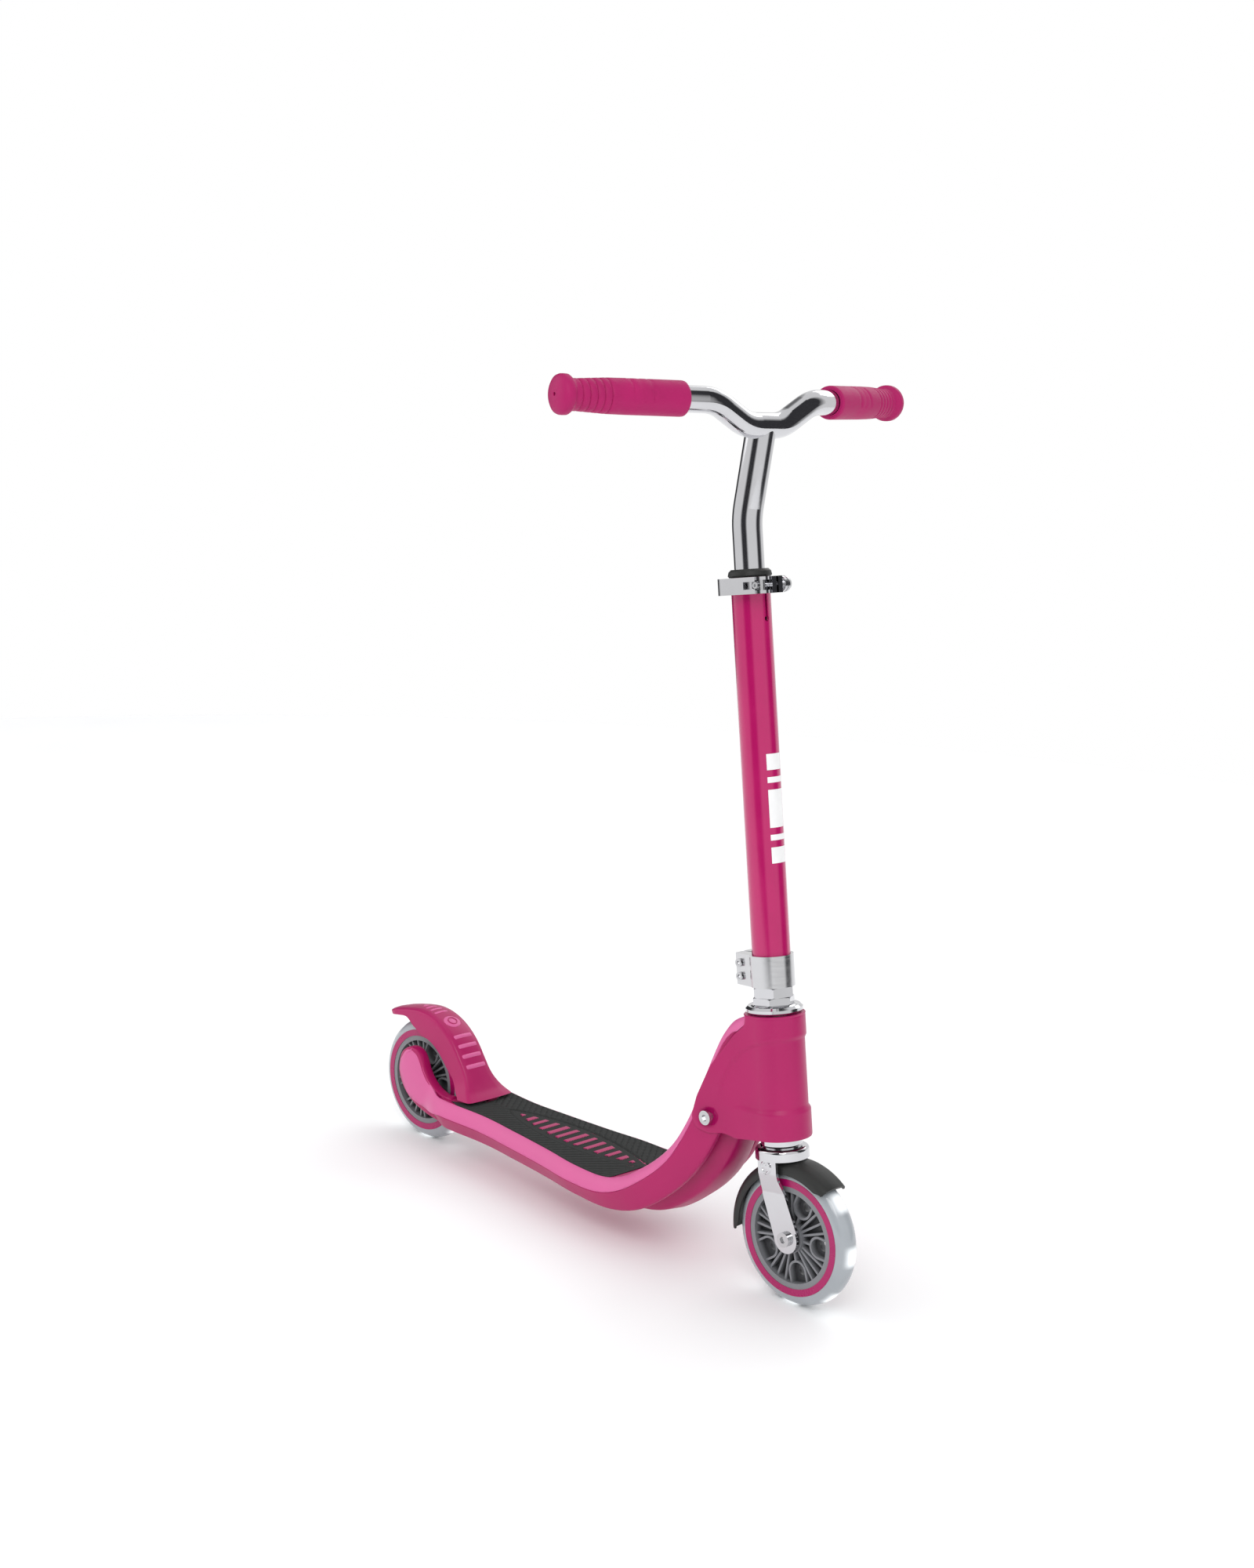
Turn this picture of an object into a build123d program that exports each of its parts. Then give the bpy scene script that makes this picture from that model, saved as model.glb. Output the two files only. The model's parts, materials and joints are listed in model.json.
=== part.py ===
from build123d import *
from math import cos, radians, sin, sqrt, tan
import os

# Kick scooter with a telescoping T-bar, a quick-release stem clamp and a sprung rear fender brake.
# Millimetres. The origin is on the ground, midway between the axles; +X is forward and +Z is up.
# Names that end in _u and _w are places in the steering frame: u is forward, w is along the
# steering axis, and its origin is the foot of the front axle on that axis.

# ---------------------------------------------------------------- driving dimensions
wheelbase = 507.0
wheel_d = 125.0
tyre_w = 24.0
rake = 9.35  # degrees that the steering axis leans back
fork_offset = 13.2  # axle ahead of the steering axis

slip = 0.1  # between pieces that are only assembled together
run = 0.05  # radial clearance of a running fit
gap = 0.3  # between pieces that move past each other

axle_r = 4.0
bearing_r = 11.0
bearing_w = 7.0
hub_w = 23.0
boss_r = 13.8
rim_in_r = 41.0
rim_ring_in_r = 46.0
rim_ring_out_r = 52.3
tyre_floor_r = 49.0
spoke_groups = 5
spoke_t = 2.0
web_t = 2.4  # thin disc between the ribs, at the wheel's middle
web_hole_r = 5.0

fork_gap = 29.4  # between the legs at the axle
leg_t = 2.8
leg_r = 13.0
leg_half_w = 10.4
crown_r = 24.0
crown_top_w = 78.5
crown_plate_t = 4.0
crown_skirt = 10.0
crown_step = 4.0  # how far each leg steps out below the crown
fender_gap = 3.0
fender_t = 2.0
fender_half_w = 16.0
fender_front_deg = 46.0
fender_rear_deg = 181.0

steerer_r = 14.3
steerer_wall = 3.0
head_tube_r = 17.5
head_tube_wall = 2.3
head_tube_low_w = 92.0
head_tube_top_w = 193.0
cup_r = 18.2
ball_r = 1.5
ball_count = 14
cap_r = 25.3
cap_h = 6.8
nut_af = 33.0
adjusting_nut_h = 6.4
lock_nut_h = 8.6

stem_r = 17.0
stem_wall = 2.5
stem_len = 355.5
stem_clamp_h = 28.0
stem_clamp_wall = 2.6
stem_clamp_ear = 14.0
clamp_bolt_r = 2.5
clamp_bolt_pitch = 12.0
clamp_seat = 11.2  # half width between the flat seats of the clamp's bolts
clamp_bolt_head_r = 3.6
keyhole_len = 36.0
keyhole_w = 2.4
keyhole_r = 2.5

upper_r = 13.15
upper_wall = 1.6
height_step = 43.0
height_steps = 3
upper_hidden = 205.0  # upper tube inside the lower stem at the lowest setting
button_above_end = 48.0
button_r = 3.4
button_travel = 3.6
upper_bend_deg = 16.7
upper_bend_above = 51.0  # from the top of the lower stem to the bend
upper_bend_r = 70.0

bar_r = 11.1
bar_wall = 1.5
bar_len = 412.0
bar_drop = 20.2
bar_height_w = 127.0  # handlebar centre above the top of the lower stem, along the axis
bar_sweep = 12.48
bar_flat = 44.0
bar_rise_run = 39.0
bar_bend_r = 45.0
grip_len = 116.0
grip_r = 14.8
grip_flange_r = 16.4
grip_dome = 5.5

quick_h = 14.3
quick_wall = 3.1
quick_ear_reach = 14.0
quick_ear_t = 5.3
quick_slot = 2.4
quick_bolt_r = 2.5
barrel_r = 4.0
barrel_out = 15.0
cheek_r = 8.0
lever_t = 3.0
lever_open_deg = 120.0

deck_top_z = 64.0
deck_t = 30.0
shoulder_w = 8.5
shoulder_drop = 13.5
trim_t = 3.2
deck_front_half = 50.0
deck_waist_half = 33.5
deck_wall = 3.0
mat_t = 2.5
cover_t = 2.7
beam_w = 30.0
beam_h = 20.0
beam_wall = 2.0
beam_depth = 7.0
plate_t = 3.0
arm_out = 30.0
arm_trim_t = 2.4
casing_wall = 2.7
casing_r = 25.4
casing_band = 1.9
lobe_bolt_r = 4.0
lobe_pad_r = 8.0

brake_gap = 3.5
brake_t = 8.0
brake_half_w = 17.0
brake_skirt_t = 2.4
brake_skirt_drop = 15.0
brake_press_deg = 2.4
brake_pin_r = 3.0
brake_pocket = 19.0  # room ahead of the pin for the brake's heel

# ---------------------------------------------------------------- places worked out from them
wheel_r = wheel_d / 2
front_x = wheelbase / 2
rear_x = -wheelbase / 2
rake_rad = radians(rake)
foot_x = front_x - fork_offset * cos(rake_rad)
foot_z = wheel_r - fork_offset * sin(rake_rad)
steer_place = Location((foot_x, 0, foot_z), (0, -rake, 0))

upper_cup_top_w = head_tube_top_w + 4.8
cap_low_w = upper_cup_top_w + 0.4
cap_top_w = cap_low_w + cap_h
adjusting_top_w = cap_top_w + slip + adjusting_nut_h
lock_low_w = adjusting_top_w + 0.6
lock_top_w = lock_low_w + lock_nut_h
clamp_low_w = lock_top_w + 0.4
stem_low_w = clamp_low_w + 0.5
stem_top_w = stem_low_w + stem_len
steerer_top_w = clamp_low_w + stem_clamp_h + 13.0
stem_in_r = stem_r - stem_wall
bend_w = stem_top_w + upper_bend_above
upper_low_w = stem_top_w - upper_hidden
button_w = upper_low_w + button_above_end
lock_hole_ws = [button_w + height_step * i for i in range(height_steps + 1)]
bar_w = stem_top_w + bar_height_w
bar_u = (bar_w - bend_w) * tan(radians(upper_bend_deg)) + 2.5
quick_top_w = stem_top_w - 0.2
quick_low_w = quick_top_w - quick_h
quick_mid_w = (quick_low_w + quick_top_w) / 2
quick_bolt_u = stem_r + quick_wall + 4.9
leg_in = fork_gap / 2
leg_out = leg_in + leg_t
spacer_low = hub_w / 2 + gap
casing_low_w = head_tube_low_w - 4.7
casing_top_w = cap_low_w - 0.9
lobe_u = -51.9
lobe_w = casing_low_w + 17.7
brake_in_r = wheel_r + brake_gap
brake_out_r = brake_in_r + brake_t
pin_x = rear_x + 75.0
pin_z = wheel_r - 10.5
plate_in = beam_w / 2
plate_out = plate_in + plate_t
arm_in = plate_out + gap
deck_low_z = deck_top_z - deck_t


# ---------------------------------------------------------------- helpers
def to_world(u, w):
    """Place of a point of the steering frame, as world X and Z."""
    x = foot_x + u * cos(rake_rad) - w * sin(rake_rad)
    z = foot_z + u * sin(rake_rad) + w * cos(rake_rad)
    return x, z


def to_steer(x, z):
    """Place of a world point in the steering frame, as u and w."""
    u = (x - foot_x) * cos(rake_rad) + (z - foot_z) * sin(rake_rad)
    w = (z - foot_z) * cos(rake_rad) - (x - foot_x) * sin(rake_rad)
    return u, w


def steered(shape):
    return steer_place * shape


def rod_z(r, low, high, x=0.0, y=0.0):
    return Pos(x, y, (low + high) / 2) * Cylinder(r, high - low)


def tube_z(r_out, r_in, low, high):
    return rod_z(r_out, low, high) - rod_z(r_in, low - 1, high + 1)


def rod_y(r, low, high, x=0.0, z=0.0):
    return Pos(x, (low + high) / 2, z) * Rot(90, 0, 0) * Cylinder(r, high - low)


def block(x0, x1, y0, y1, z0, z1):
    return Pos((x0 + x1) / 2, (y0 + y1) / 2, (z0 + z1) / 2) * Box(x1 - x0, y1 - y0, z1 - z0)


def side_plate(face, y_low, y_high):
    """Extrude a face drawn in the XY plane, taken as X and Z, between two values of Y."""
    return Pos(0, y_high, 0) * extrude(Plane.XZ * face, y_high - y_low)


def polygon(points):
    return make_face(Polyline(*points, close=True))


def rounded(points, radius):
    return make_face(FilletPolyline(*points, radius=radius, close=True))


def both_sides(shape):
    return shape + mirror(shape, Plane.XZ)


def turned_profile(points):
    """Revolve a polygon of (radius, Y) points about the Y axis."""
    return revolve(polygon(points), Axis.Y)


def turned_z(points):
    """Revolve a polygon of (radius, Z) points about the Z axis."""
    return revolve(Plane.XZ * polygon(points), Axis.Z)


def hex_z(across_flats, low, high):
    prism = Pos(0, 0, low) * extrude(RegularPolygon(across_flats / sqrt(3), 6), high - low)
    cone_r = across_flats / sqrt(3)
    cone = Pos(0, 0, low) * revolve(
        Plane.XZ * polygon([(0, 0), (cone_r - 1, 0), (cone_r, 0.8), (cone_r, high - low - 0.8),
                            (cone_r - 1, high - low), (0, high - low)]), Axis.Z)
    return prism & cone


def hex_y(across_flats, low, high, x=0.0, z=0.0):
    return Pos(x, high, z) * Rot(90, 0, 0) * hex_z(across_flats, 0, high - low)


def socket_head(r, low, high, x=0.0, z=0.0):
    """Round screw head between two values of Y, with a hex socket in its outer (-Y) end."""
    head = rod_y(r, low, high, x, z)
    key = Pos(x, low + 2.0, z) * Rot(90, 0, 0) * extrude(RegularPolygon(r * 0.5, 6), 3.0)
    return head - key


def ring_of(shape, count, start=0.0):
    """Copies of a shape, turned about the Y axis."""
    return [Rot(0, start + i * 360.0 / count, 0) * shape for i in range(count)]


def fused(shapes):
    result = shapes[0]
    for shape in shapes[1:]:
        result = result + shape
    return result


nodes = {}


def solid_volume(solid):
    return solid.volume


def add(name, shape):
    nodes[name] = shape


# ---------------------------------------------------------------- wheels
def wheel_hub():
    half = hub_w / 2
    rim = turned_profile([(rim_in_r, -half), (rim_ring_in_r, -half), (rim_ring_in_r, half), (rim_in_r, half)])
    boss = turned_profile([(bearing_r, -half), (boss_r, -half), (boss_r, half), (bearing_r, half)])
    rib_half = half - 2.5
    rib = block(boss_r - 1, rim_in_r + 1, -rib_half, rib_half, -spoke_t / 2, spoke_t / 2)
    cup_at = (boss_r + rim_in_r) / 2 + 3.5
    cup_in = 8.2
    cup = rod_y(cup_in + spoke_t, -rib_half, rib_half, cup_at)
    cup += block(cup_at, rim_in_r + 1, -rib_half, rib_half, -cup_in - spoke_t, cup_in + spoke_t)
    hole = rod_y(cup_in, -half, half, cup_at)
    hole += block(cup_at, rim_in_r + 0.5, -half, half, -cup_in, cup_in)
    stub = block(boss_r - 1, cup_at - cup_in - 1, -rib_half, rib_half, -spoke_t / 2, spoke_t / 2)
    lobe = cup + stub - hole
    pitch = 360.0 / spoke_groups
    ribs = []
    for side in (-1, 0, 1):
        ribs += ring_of(rib, spoke_groups, pitch / 2 + side * 13.0)
    lobes = ring_of(lobe, spoke_groups)
    ribs_only = fused([boss] + ribs)
    shell = fused([ribs_only] + lobes)
    web_half = web_t / 2
    web = turned_profile([(bearing_r, -web_half), (rim_in_r + 0.5, -web_half), (rim_in_r + 0.5, web_half),
                          (bearing_r, web_half)])
    web -= fused(ring_of(rod_y(web_hole_r, -half, half, cup_at), spoke_groups))
    spokes = shell - fused(ring_of(hole, spoke_groups)) + web
    spokes = spokes & rod_y(rim_in_r + 0.6, -half, half)
    return rim + spokes - rod_y(bearing_r, -half - 1, half + 1)


def wheel_ring():
    half = tyre_w / 2
    lip = 1.5
    return turned_profile([
        (rim_ring_in_r, -half), (rim_ring_out_r, -half), (rim_ring_out_r, -half + lip),
        (tyre_floor_r, -half + lip), (tyre_floor_r, half - lip), (rim_ring_out_r, half - lip),
        (rim_ring_out_r, half), (rim_ring_in_r, half)])


def wheel_tyre():
    half = tyre_w / 2
    lip = 1.5 + slip
    crown_at = wheel_r - half
    crown = revolve(Pos(crown_at, 0) * Circle(half), Axis.Y)
    inner = rod_y(rim_ring_out_r + slip, -half - 1, half + 1)
    base = turned_profile([(tyre_floor_r + slip, -half + lip), (rim_ring_out_r + 1, -half + lip),
                           (rim_ring_out_r + 1, half - lip), (tyre_floor_r + slip, half - lip)])
    channel = turned_profile([(tyre_floor_r, -4.2), (tyre_floor_r + 4.0, -4.2),
                              (tyre_floor_r + 4.0, 4.2), (tyre_floor_r, 4.2)])
    return (crown - inner) + base - channel


def wheel_leds():
    strip = turned_profile([(tyre_floor_r + slip, -3.5), (tyre_floor_r + 1.2, -3.5),
                            (tyre_floor_r + 1.2, 3.5), (tyre_floor_r + slip, 3.5)])
    lamp = Pos(tyre_floor_r + 1.9, 0, 0) * Box(2.4, 5.0, 5.0)
    return fused([strip] + ring_of(lamp, 8, 22.5))


def wheel_bearings():
    half = hub_w / 2
    low = half - bearing_w
    one = turned_profile([
        (axle_r, low), (bearing_r, low), (bearing_r, half), (bearing_r - 2.2, half),
        (bearing_r - 2.2, half - 0.6), (axle_r + 2.0, half - 0.6), (axle_r + 2.0, half), (axle_r, half)])
    return Compound(children=[one, mirror(one, Plane.XZ)])


def wheel_spacers(outer_y):
    """Two end spacers and the magnet sleeve between the bearings, all still on the axle."""
    side = turned_profile([(axle_r, spacer_low), (6.5, spacer_low), (6.5, outer_y - slip), (axle_r, outer_y - slip)])
    inner = hub_w / 2 - bearing_w - gap
    magnet = turned_profile([(axle_r, -inner), (9.0, -inner), (9.0, inner), (axle_r, inner)])
    return Compound(children=[side, mirror(side, Plane.XZ), magnet])


def axle_bolt(outer_y, tail):
    bolt = rod_y(axle_r - run, -outer_y - 0.1, outer_y + tail)
    return bolt + socket_head(6.6, -outer_y - slip - 3.4, -outer_y - slip)


def axle_nut(outer_y):
    return hex_y(13.0, outer_y + slip, outer_y + slip + 6.5) - rod_y(axle_r, outer_y, outer_y + 8)


def add_wheel(end, x, outer_y):
    place = Pos(x, 0, wheel_r)
    add(end + "_hub", place * wheel_hub())
    add(end + "_rim_ring", place * wheel_ring())
    add(end + "_tyre", place * wheel_tyre())
    add(end + "_led_ring", place * wheel_leds())
    add(end + "_bearings", place * wheel_bearings())
    add(end + "_axle_spacers", place * wheel_spacers(outer_y - leg_t if end == "front" else plate_in))
    add(end + "_axle_bolt", place * axle_bolt(outer_y, 8.0))
    add(end + "_axle_nut", place * axle_nut(outer_y))


# ---------------------------------------------------------------- fork, front fender and headset
def fork_crown():
    low = crown_top_w - crown_skirt
    ceiling = crown_top_w - crown_plate_t
    cup = rod_z(crown_r, low, crown_top_w)
    cup = fillet(cup.edges().group_by(Axis.Z)[-1], 3.0)
    cup -= rod_z(crown_r - 2.5, low - 1, ceiling)
    outline = polygon([
        (-leg_half_w, ceiling + 1), (leg_half_w, ceiling + 1), (leg_half_w, 52.0),
        (fork_offset + leg_r + 0.2, leg_r * 0.55), (fork_offset, 0.0),
        (fork_offset - leg_r, 0.0), (-leg_half_w, 37.0)])
    outline += Pos(fork_offset, 0) * Circle(leg_r)
    side = side_plate(outline, 0, 40)
    step_in = leg_in + crown_step
    front = polygon([
        (leg_out, -leg_r - 1), (leg_out, 40.0), (leg_out + crown_step, 57.0), (leg_out + crown_step, ceiling + 2),
        (step_in, ceiling + 2), (step_in, 57.4), (leg_in, 40.4), (leg_in, -leg_r - 1)])
    strip = Pos(-60, 0, 0) * extrude(Plane.YZ * front, 120)
    leg = side & strip
    leg -= rod_y(axle_r + slip, 0, 40, fork_offset)
    return cup + both_sides(leg) - rod_z(2.6, ceiling - 1, crown_top_w + 1)


def front_fender():
    outer_r = wheel_r + fender_gap + fender_t
    inner_r = outer_r - fender_t
    edge_r = wheel_r - 5.5
    half = fender_half_w
    outer = [(edge_r, -half), (outer_r - 7, -half), (outer_r - 1.5, -half + 5), (outer_r, 0),
             (outer_r - 1.5, half - 5), (outer_r - 7, half), (edge_r, half)]
    inner = [(edge_r, half - fender_t), (inner_r - 6.4, half - fender_t), (inner_r - 1.4, half - 6), (inner_r, 0),
             (inner_r - 1.4, -half + 6), (inner_r - 6.4, -half + fender_t), (edge_r, -half + fender_t)]
    band = revolve(polygon(outer + inner), Axis.Y, revolution_arc=fender_rear_deg - fender_front_deg)
    shell = Pos(fork_offset, 0, 0) * Rot(0, -fender_rear_deg, 0) * band
    top_w = sqrt(inner_r ** 2 - fork_offset ** 2)
    boss = rod_z(7.0, top_w + 0.5, crown_top_w - crown_plate_t - slip)
    return shell + boss - rod_z(2.6, 0, crown_top_w) - rod_z(4.7, 0, top_w)


def fender_rivet():
    inner_r = wheel_r + fender_gap
    top_w = sqrt(inner_r ** 2 - fork_offset ** 2) - slip
    shank = rod_z(2.5, top_w - 1, crown_top_w + 1.0)
    return shank + rod_z(4.5, top_w - 1.0, top_w) + rod_z(4.5, crown_top_w + slip, crown_top_w + 1.6)


def headset():
    race_r = (steerer_r + cup_r) / 2
    low_track = crown_top_w + 4.8
    high_track = upper_cup_top_w + 0.1 + ball_r
    add("crown_race", steered(turned_z([
        (steerer_r + run, crown_top_w), (17.2, crown_top_w), (17.2, crown_top_w + 0.8),
        (15.5, crown_top_w + 2.9), (steerer_r + run, crown_top_w + 2.9)])))
    ring_low = turned_z([
        (15.1, low_track + ball_r + 0.1), (17.8, low_track + ball_r + 0.1), (17.8, crown_top_w + 2.4),
        (18.4, crown_top_w + 2.4), (18.4, head_tube_low_w - slip), (15.1, head_tube_low_w - slip)])
    ring_high = tube_z(cup_r, 15.1, head_tube_top_w + slip, upper_cup_top_w)
    add("headset_cups", steered(Compound(children=[ring_low, ring_high])))
    balls = []
    for track in (low_track, high_track):
        for i in range(ball_count):
            balls.append(Rot(0, 0, i * 360.0 / ball_count) * Pos(race_r, 0, track) * Sphere(ball_r))
    add("headset_balls", steered(Compound(children=balls)))
    ceiling = high_track + ball_r + 0.15
    add("headset_cap", steered(turned_z([
        (steerer_r + run, ceiling), (cup_r + 0.6, ceiling), (cup_r + 0.6, cap_low_w),
        (cap_r - 1.6, cap_low_w), (cap_r, cap_low_w + 1.6), (cap_r, cap_top_w - 2.6), (cap_r - 2.2, cap_top_w - 0.5),
        (cap_r - 4.6, cap_top_w - 0.8), (cap_r - 6.0, cap_top_w), (steerer_r + run, cap_top_w)])))
    bore = rod_z(steerer_r + run, 0, lock_top_w + 1)
    add("adjusting_nut", steered(hex_z(nut_af, cap_top_w + slip, adjusting_top_w) - bore))
    add("lock_washer", steered(tube_z(17.4, steerer_r + run, adjusting_top_w + 0.05, lock_low_w - 0.05)))
    add("lock_nut", steered(Rot(0, 0, 12) * hex_z(nut_af + 0.8, lock_low_w, lock_top_w) - bore))


def lower_front():
    add("fork_crown", steered(fork_crown()))
    add("front_fender", steered(front_fender()))
    add("fender_rivet", steered(fender_rivet()))
    add("fork_steerer", steered(tube_z(steerer_r, steerer_r - steerer_wall, crown_top_w, steerer_top_w)))
    headset()


# ---------------------------------------------------------------- stem
def lower_stem():
    tube = tube_z(stem_r, stem_in_r, stem_low_w, stem_top_w)
    slot_end = stem_top_w - keyhole_len
    slot = block(0, stem_r + 1, -keyhole_w / 2, keyhole_w / 2, slot_end, stem_top_w + 1)
    eye = Pos(stem_r / 2 + 1, 0, slot_end) * Rot(0, 90, 0) * Cylinder(keyhole_r, stem_r)
    tube = tube - slot - eye
    for hole_w in lock_hole_ws:
        tube -= Pos(-stem_r / 2 - 1, 0, hole_w) * Rot(0, 90, 0) * Cylinder(button_r + 0.5, stem_r)
    tail = block(-stem_r - 1, 0, -1.0, 1.0, stem_low_w - 1, stem_low_w + stem_clamp_h - 3)
    return tube - tail


def stem_clamp():
    low = clamp_low_w
    high = low + stem_clamp_h
    ring_r = stem_r + stem_clamp_wall
    ear_end = -(stem_r + stem_clamp_wall + stem_clamp_ear)
    plan = Circle(ring_r) + polygon([(ear_end, -9.5), (-9.0, -16.5), (-9.0, 16.5), (ear_end, 9.5)])
    body = Pos(0, 0, low) * extrude(plan, stem_clamp_h)
    body -= rod_z(stem_r + slip, low - 1, high + 1)
    body -= block(ear_end - 1, 0, -1.0, 1.0, low - 1, high + 1)
    mid = (low + high) / 2
    for side in (-1, 1):
        at_w = mid + side * clamp_bolt_pitch / 2
        body -= rod_y(clamp_bolt_r + slip, -20, 20, ear_end + 7, at_w)
        body -= rod_y(clamp_bolt_head_r + 0.4, -20, -clamp_seat, ear_end + 7, at_w)
        body -= rod_y(clamp_bolt_head_r + 0.4, clamp_seat, 20, ear_end + 7, at_w)
    return body


def stem_clamp_bolts():
    ear_u = -(stem_r + stem_clamp_wall + stem_clamp_ear) + 7
    mid = clamp_low_w + stem_clamp_h / 2
    face = clamp_seat + slip
    bolts = []
    for side in (-1, 1):
        at_w = mid + side * clamp_bolt_pitch / 2
        shank = rod_y(clamp_bolt_r, -face - 0.1, face + 1.0, ear_u, at_w)
        bolts.append(shank + socket_head(clamp_bolt_head_r, -face - 3.2, -face, ear_u, at_w))
    return Compound(children=bolts)


def collar_bush():
    top = stem_top_w + 7.0
    sleeve_low = lock_hole_ws[-1] + button_r + 3.5
    return turned_z([
        (upper_r + run, sleeve_low), (stem_in_r - slip, sleeve_low), (stem_in_r - slip, stem_top_w + slip),
        (18.0, stem_top_w + slip), (19.2, stem_top_w + 1.6), (18.4, top - 2.0), (16.2, top), (upper_r + run, top)])


def upper_path():
    lean = radians(upper_bend_deg)
    end_u = (bar_w - bend_w) * tan(lean)
    return FilletPolyline((0, 0, upper_low_w), (0, 0, bend_w), (end_u, 0, bar_w), radius=upper_bend_r)


def bar_points(world=True):
    """Corners of the handlebar's centre line, right end to left end, in world coordinates."""
    cx, cz = to_world(bar_u, bar_w)
    slope = tan(radians(bar_sweep))
    grip_z = cz + bar_drop
    half = bar_len / 2
    bend_y = bar_flat / 2 + bar_rise_run
    lead = bend_y * slope - 1.5
    end_x = cx - (half - bend_y) * slope - 1.5 + 0.0 * lead
    right = [(end_x, -half, grip_z), (cx - 1.5, -bend_y, grip_z), (cx, -bar_flat / 2, cz)]
    return right + [(x, -y, z) for x, y, z in reversed(right)]


def bar_solid(radius):
    points = bar_points()
    path = FilletPolyline(*points, radius=bar_bend_r)
    start = Vector(*points[0])
    ahead = Vector(*points[1]) - start
    section = Plane(origin=start, z_dir=ahead) * Circle(radius)
    return sweep(section, path=path)


def grip(side):
    """Rubber grip on the bar's end: side -1 is the right hand, +1 the left."""
    points = bar_points()
    end = Vector(*points[0])
    inward = (Vector(*points[1]) - end).normalized()
    top = grip_r
    rows = [(grip_len, bar_r), (grip_len, top - 0.7), (grip_len - 1.2, top), (grip_len - 60, top)]
    for i in range(5):
        at = 40.0 - i * 6.5
        waist = top - 0.5 - 0.25 * i
        rows += [(at + 0.7, waist), (at, waist - 0.7), (at - 0.7, waist)]
    rows += [(8.5, top - 0.9), (5.5, grip_flange_r), (0.0, grip_flange_r), (-2.8, grip_flange_r - 2.2)]
    rows += [(-grip_dome + 0.6, grip_flange_r * 0.55), (-grip_dome, 1.3), (-2.5, 1.3), (-2.5, 0.0), (0.0, 0.0)]
    rows += [(0.0, bar_r)]
    face = make_face(Polyline(*[(r, s) for s, r in rows], close=True))
    solid = revolve(Plane.XZ * face, Axis.Z)
    plane = Plane(origin=end, x_dir=(0, 0, 1), z_dir=inward)
    placed = plane.location * solid
    return placed if side < 0 else mirror(placed, Plane.XZ)


def lock_button():
    stem = Pos(-9.7, 0, button_w) * Rot(0, 90, 0) * Cylinder(button_r, 7.4)
    dome = Pos(-13.4, 0, button_w) * Rot(0, -90, 0) * Cone(button_r, button_r - 0.6, 0.6, align=(
        Align.CENTER, Align.CENTER, Align.MIN))
    flange = Pos(-6.0, 0, button_w) * Rot(0, 90, 0) * Cylinder(5.0, 1.0)
    return stem + dome + flange


def button_spring():
    wall = upper_r - upper_wall - 1.2
    low = button_w - 38.0
    bends = [(-5.0, button_w + 5.0), (-5.0, button_w - 6.0), (wall - 4.0, low), (wall, low + 3.0), (wall, button_w)]
    leaf = Pos(*bends[0]) * Circle(0.4)
    for (au, aw), (bu, bw) in zip(bends, bends[1:]):
        length = sqrt((bu - au) ** 2 + (bw - aw) ** 2)
        across = ((aw - bw) / length * 0.4, (bu - au) / length * 0.4)
        leaf += polygon([(au + across[0], aw + across[1]), (au - across[0], aw - across[1]),
                         (bu - across[0], bw - across[1]), (bu + across[0], bw + across[1])])
        leaf += Pos(bu, bw) * Circle(0.4)
    return side_plate(leaf, -3.5, 3.5)


def stem_parts():
    add("lower_stem_tube", steered(lower_stem()))
    add("stem_clamp", steered(stem_clamp()))
    add("stem_clamp_bolts", steered(stem_clamp_bolts()))
    add("stem_collar_bush", steered(collar_bush()))
    bar_outer = bar_solid(bar_r)
    add("handlebar_tube", bar_outer - bar_solid(bar_r - bar_wall))
    path = upper_path()
    outer = sweep(Plane(origin=(0, 0, upper_low_w)) * Circle(upper_r), path=path)
    inner = sweep(Plane(origin=(0, 0, upper_low_w)) * Circle(upper_r - upper_wall), path=path)
    tube = outer - inner
    tube -= Pos(-upper_r / 2 - 1, 0, button_w) * Rot(0, 90, 0) * Cylinder(button_r + 0.1, upper_r)
    add("upper_stem_tube", steered(tube) - bar_outer)
    add("stem_end_bush", steered(tube_z(stem_in_r - 0.08, upper_r + 0.02, upper_low_w + 1, upper_low_w + 13)))
    add("lock_button", steered(lock_button()))
    add("button_spring", steered(button_spring()))
    add("grip_right", grip(-1))
    add("grip_left", grip(1))


# ---------------------------------------------------------------- quick-release clamp
def quick_collar():
    ring_r = stem_r + quick_wall
    ear_far = ring_r + quick_ear_reach - 3.0
    ear_half = quick_slot / 2 + quick_ear_t
    plan = Circle(ring_r) + polygon([(8, -ear_half - 6), (ring_r - 1, -ear_half), (ear_far, -ear_half),
                                     (ear_far, ear_half), (ring_r - 1, ear_half), (8, ear_half + 6)])
    body = Pos(0, 0, quick_low_w) * extrude(plan, quick_h)
    body -= rod_z(stem_r + slip, quick_low_w - 1, quick_top_w + 1)
    body -= block(0, ear_far + 1, -quick_slot / 2, quick_slot / 2, quick_low_w - 1, quick_top_w + 1)
    return body - rod_y(quick_bolt_r + slip, -20, 20, quick_bolt_u, quick_mid_w)


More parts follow.
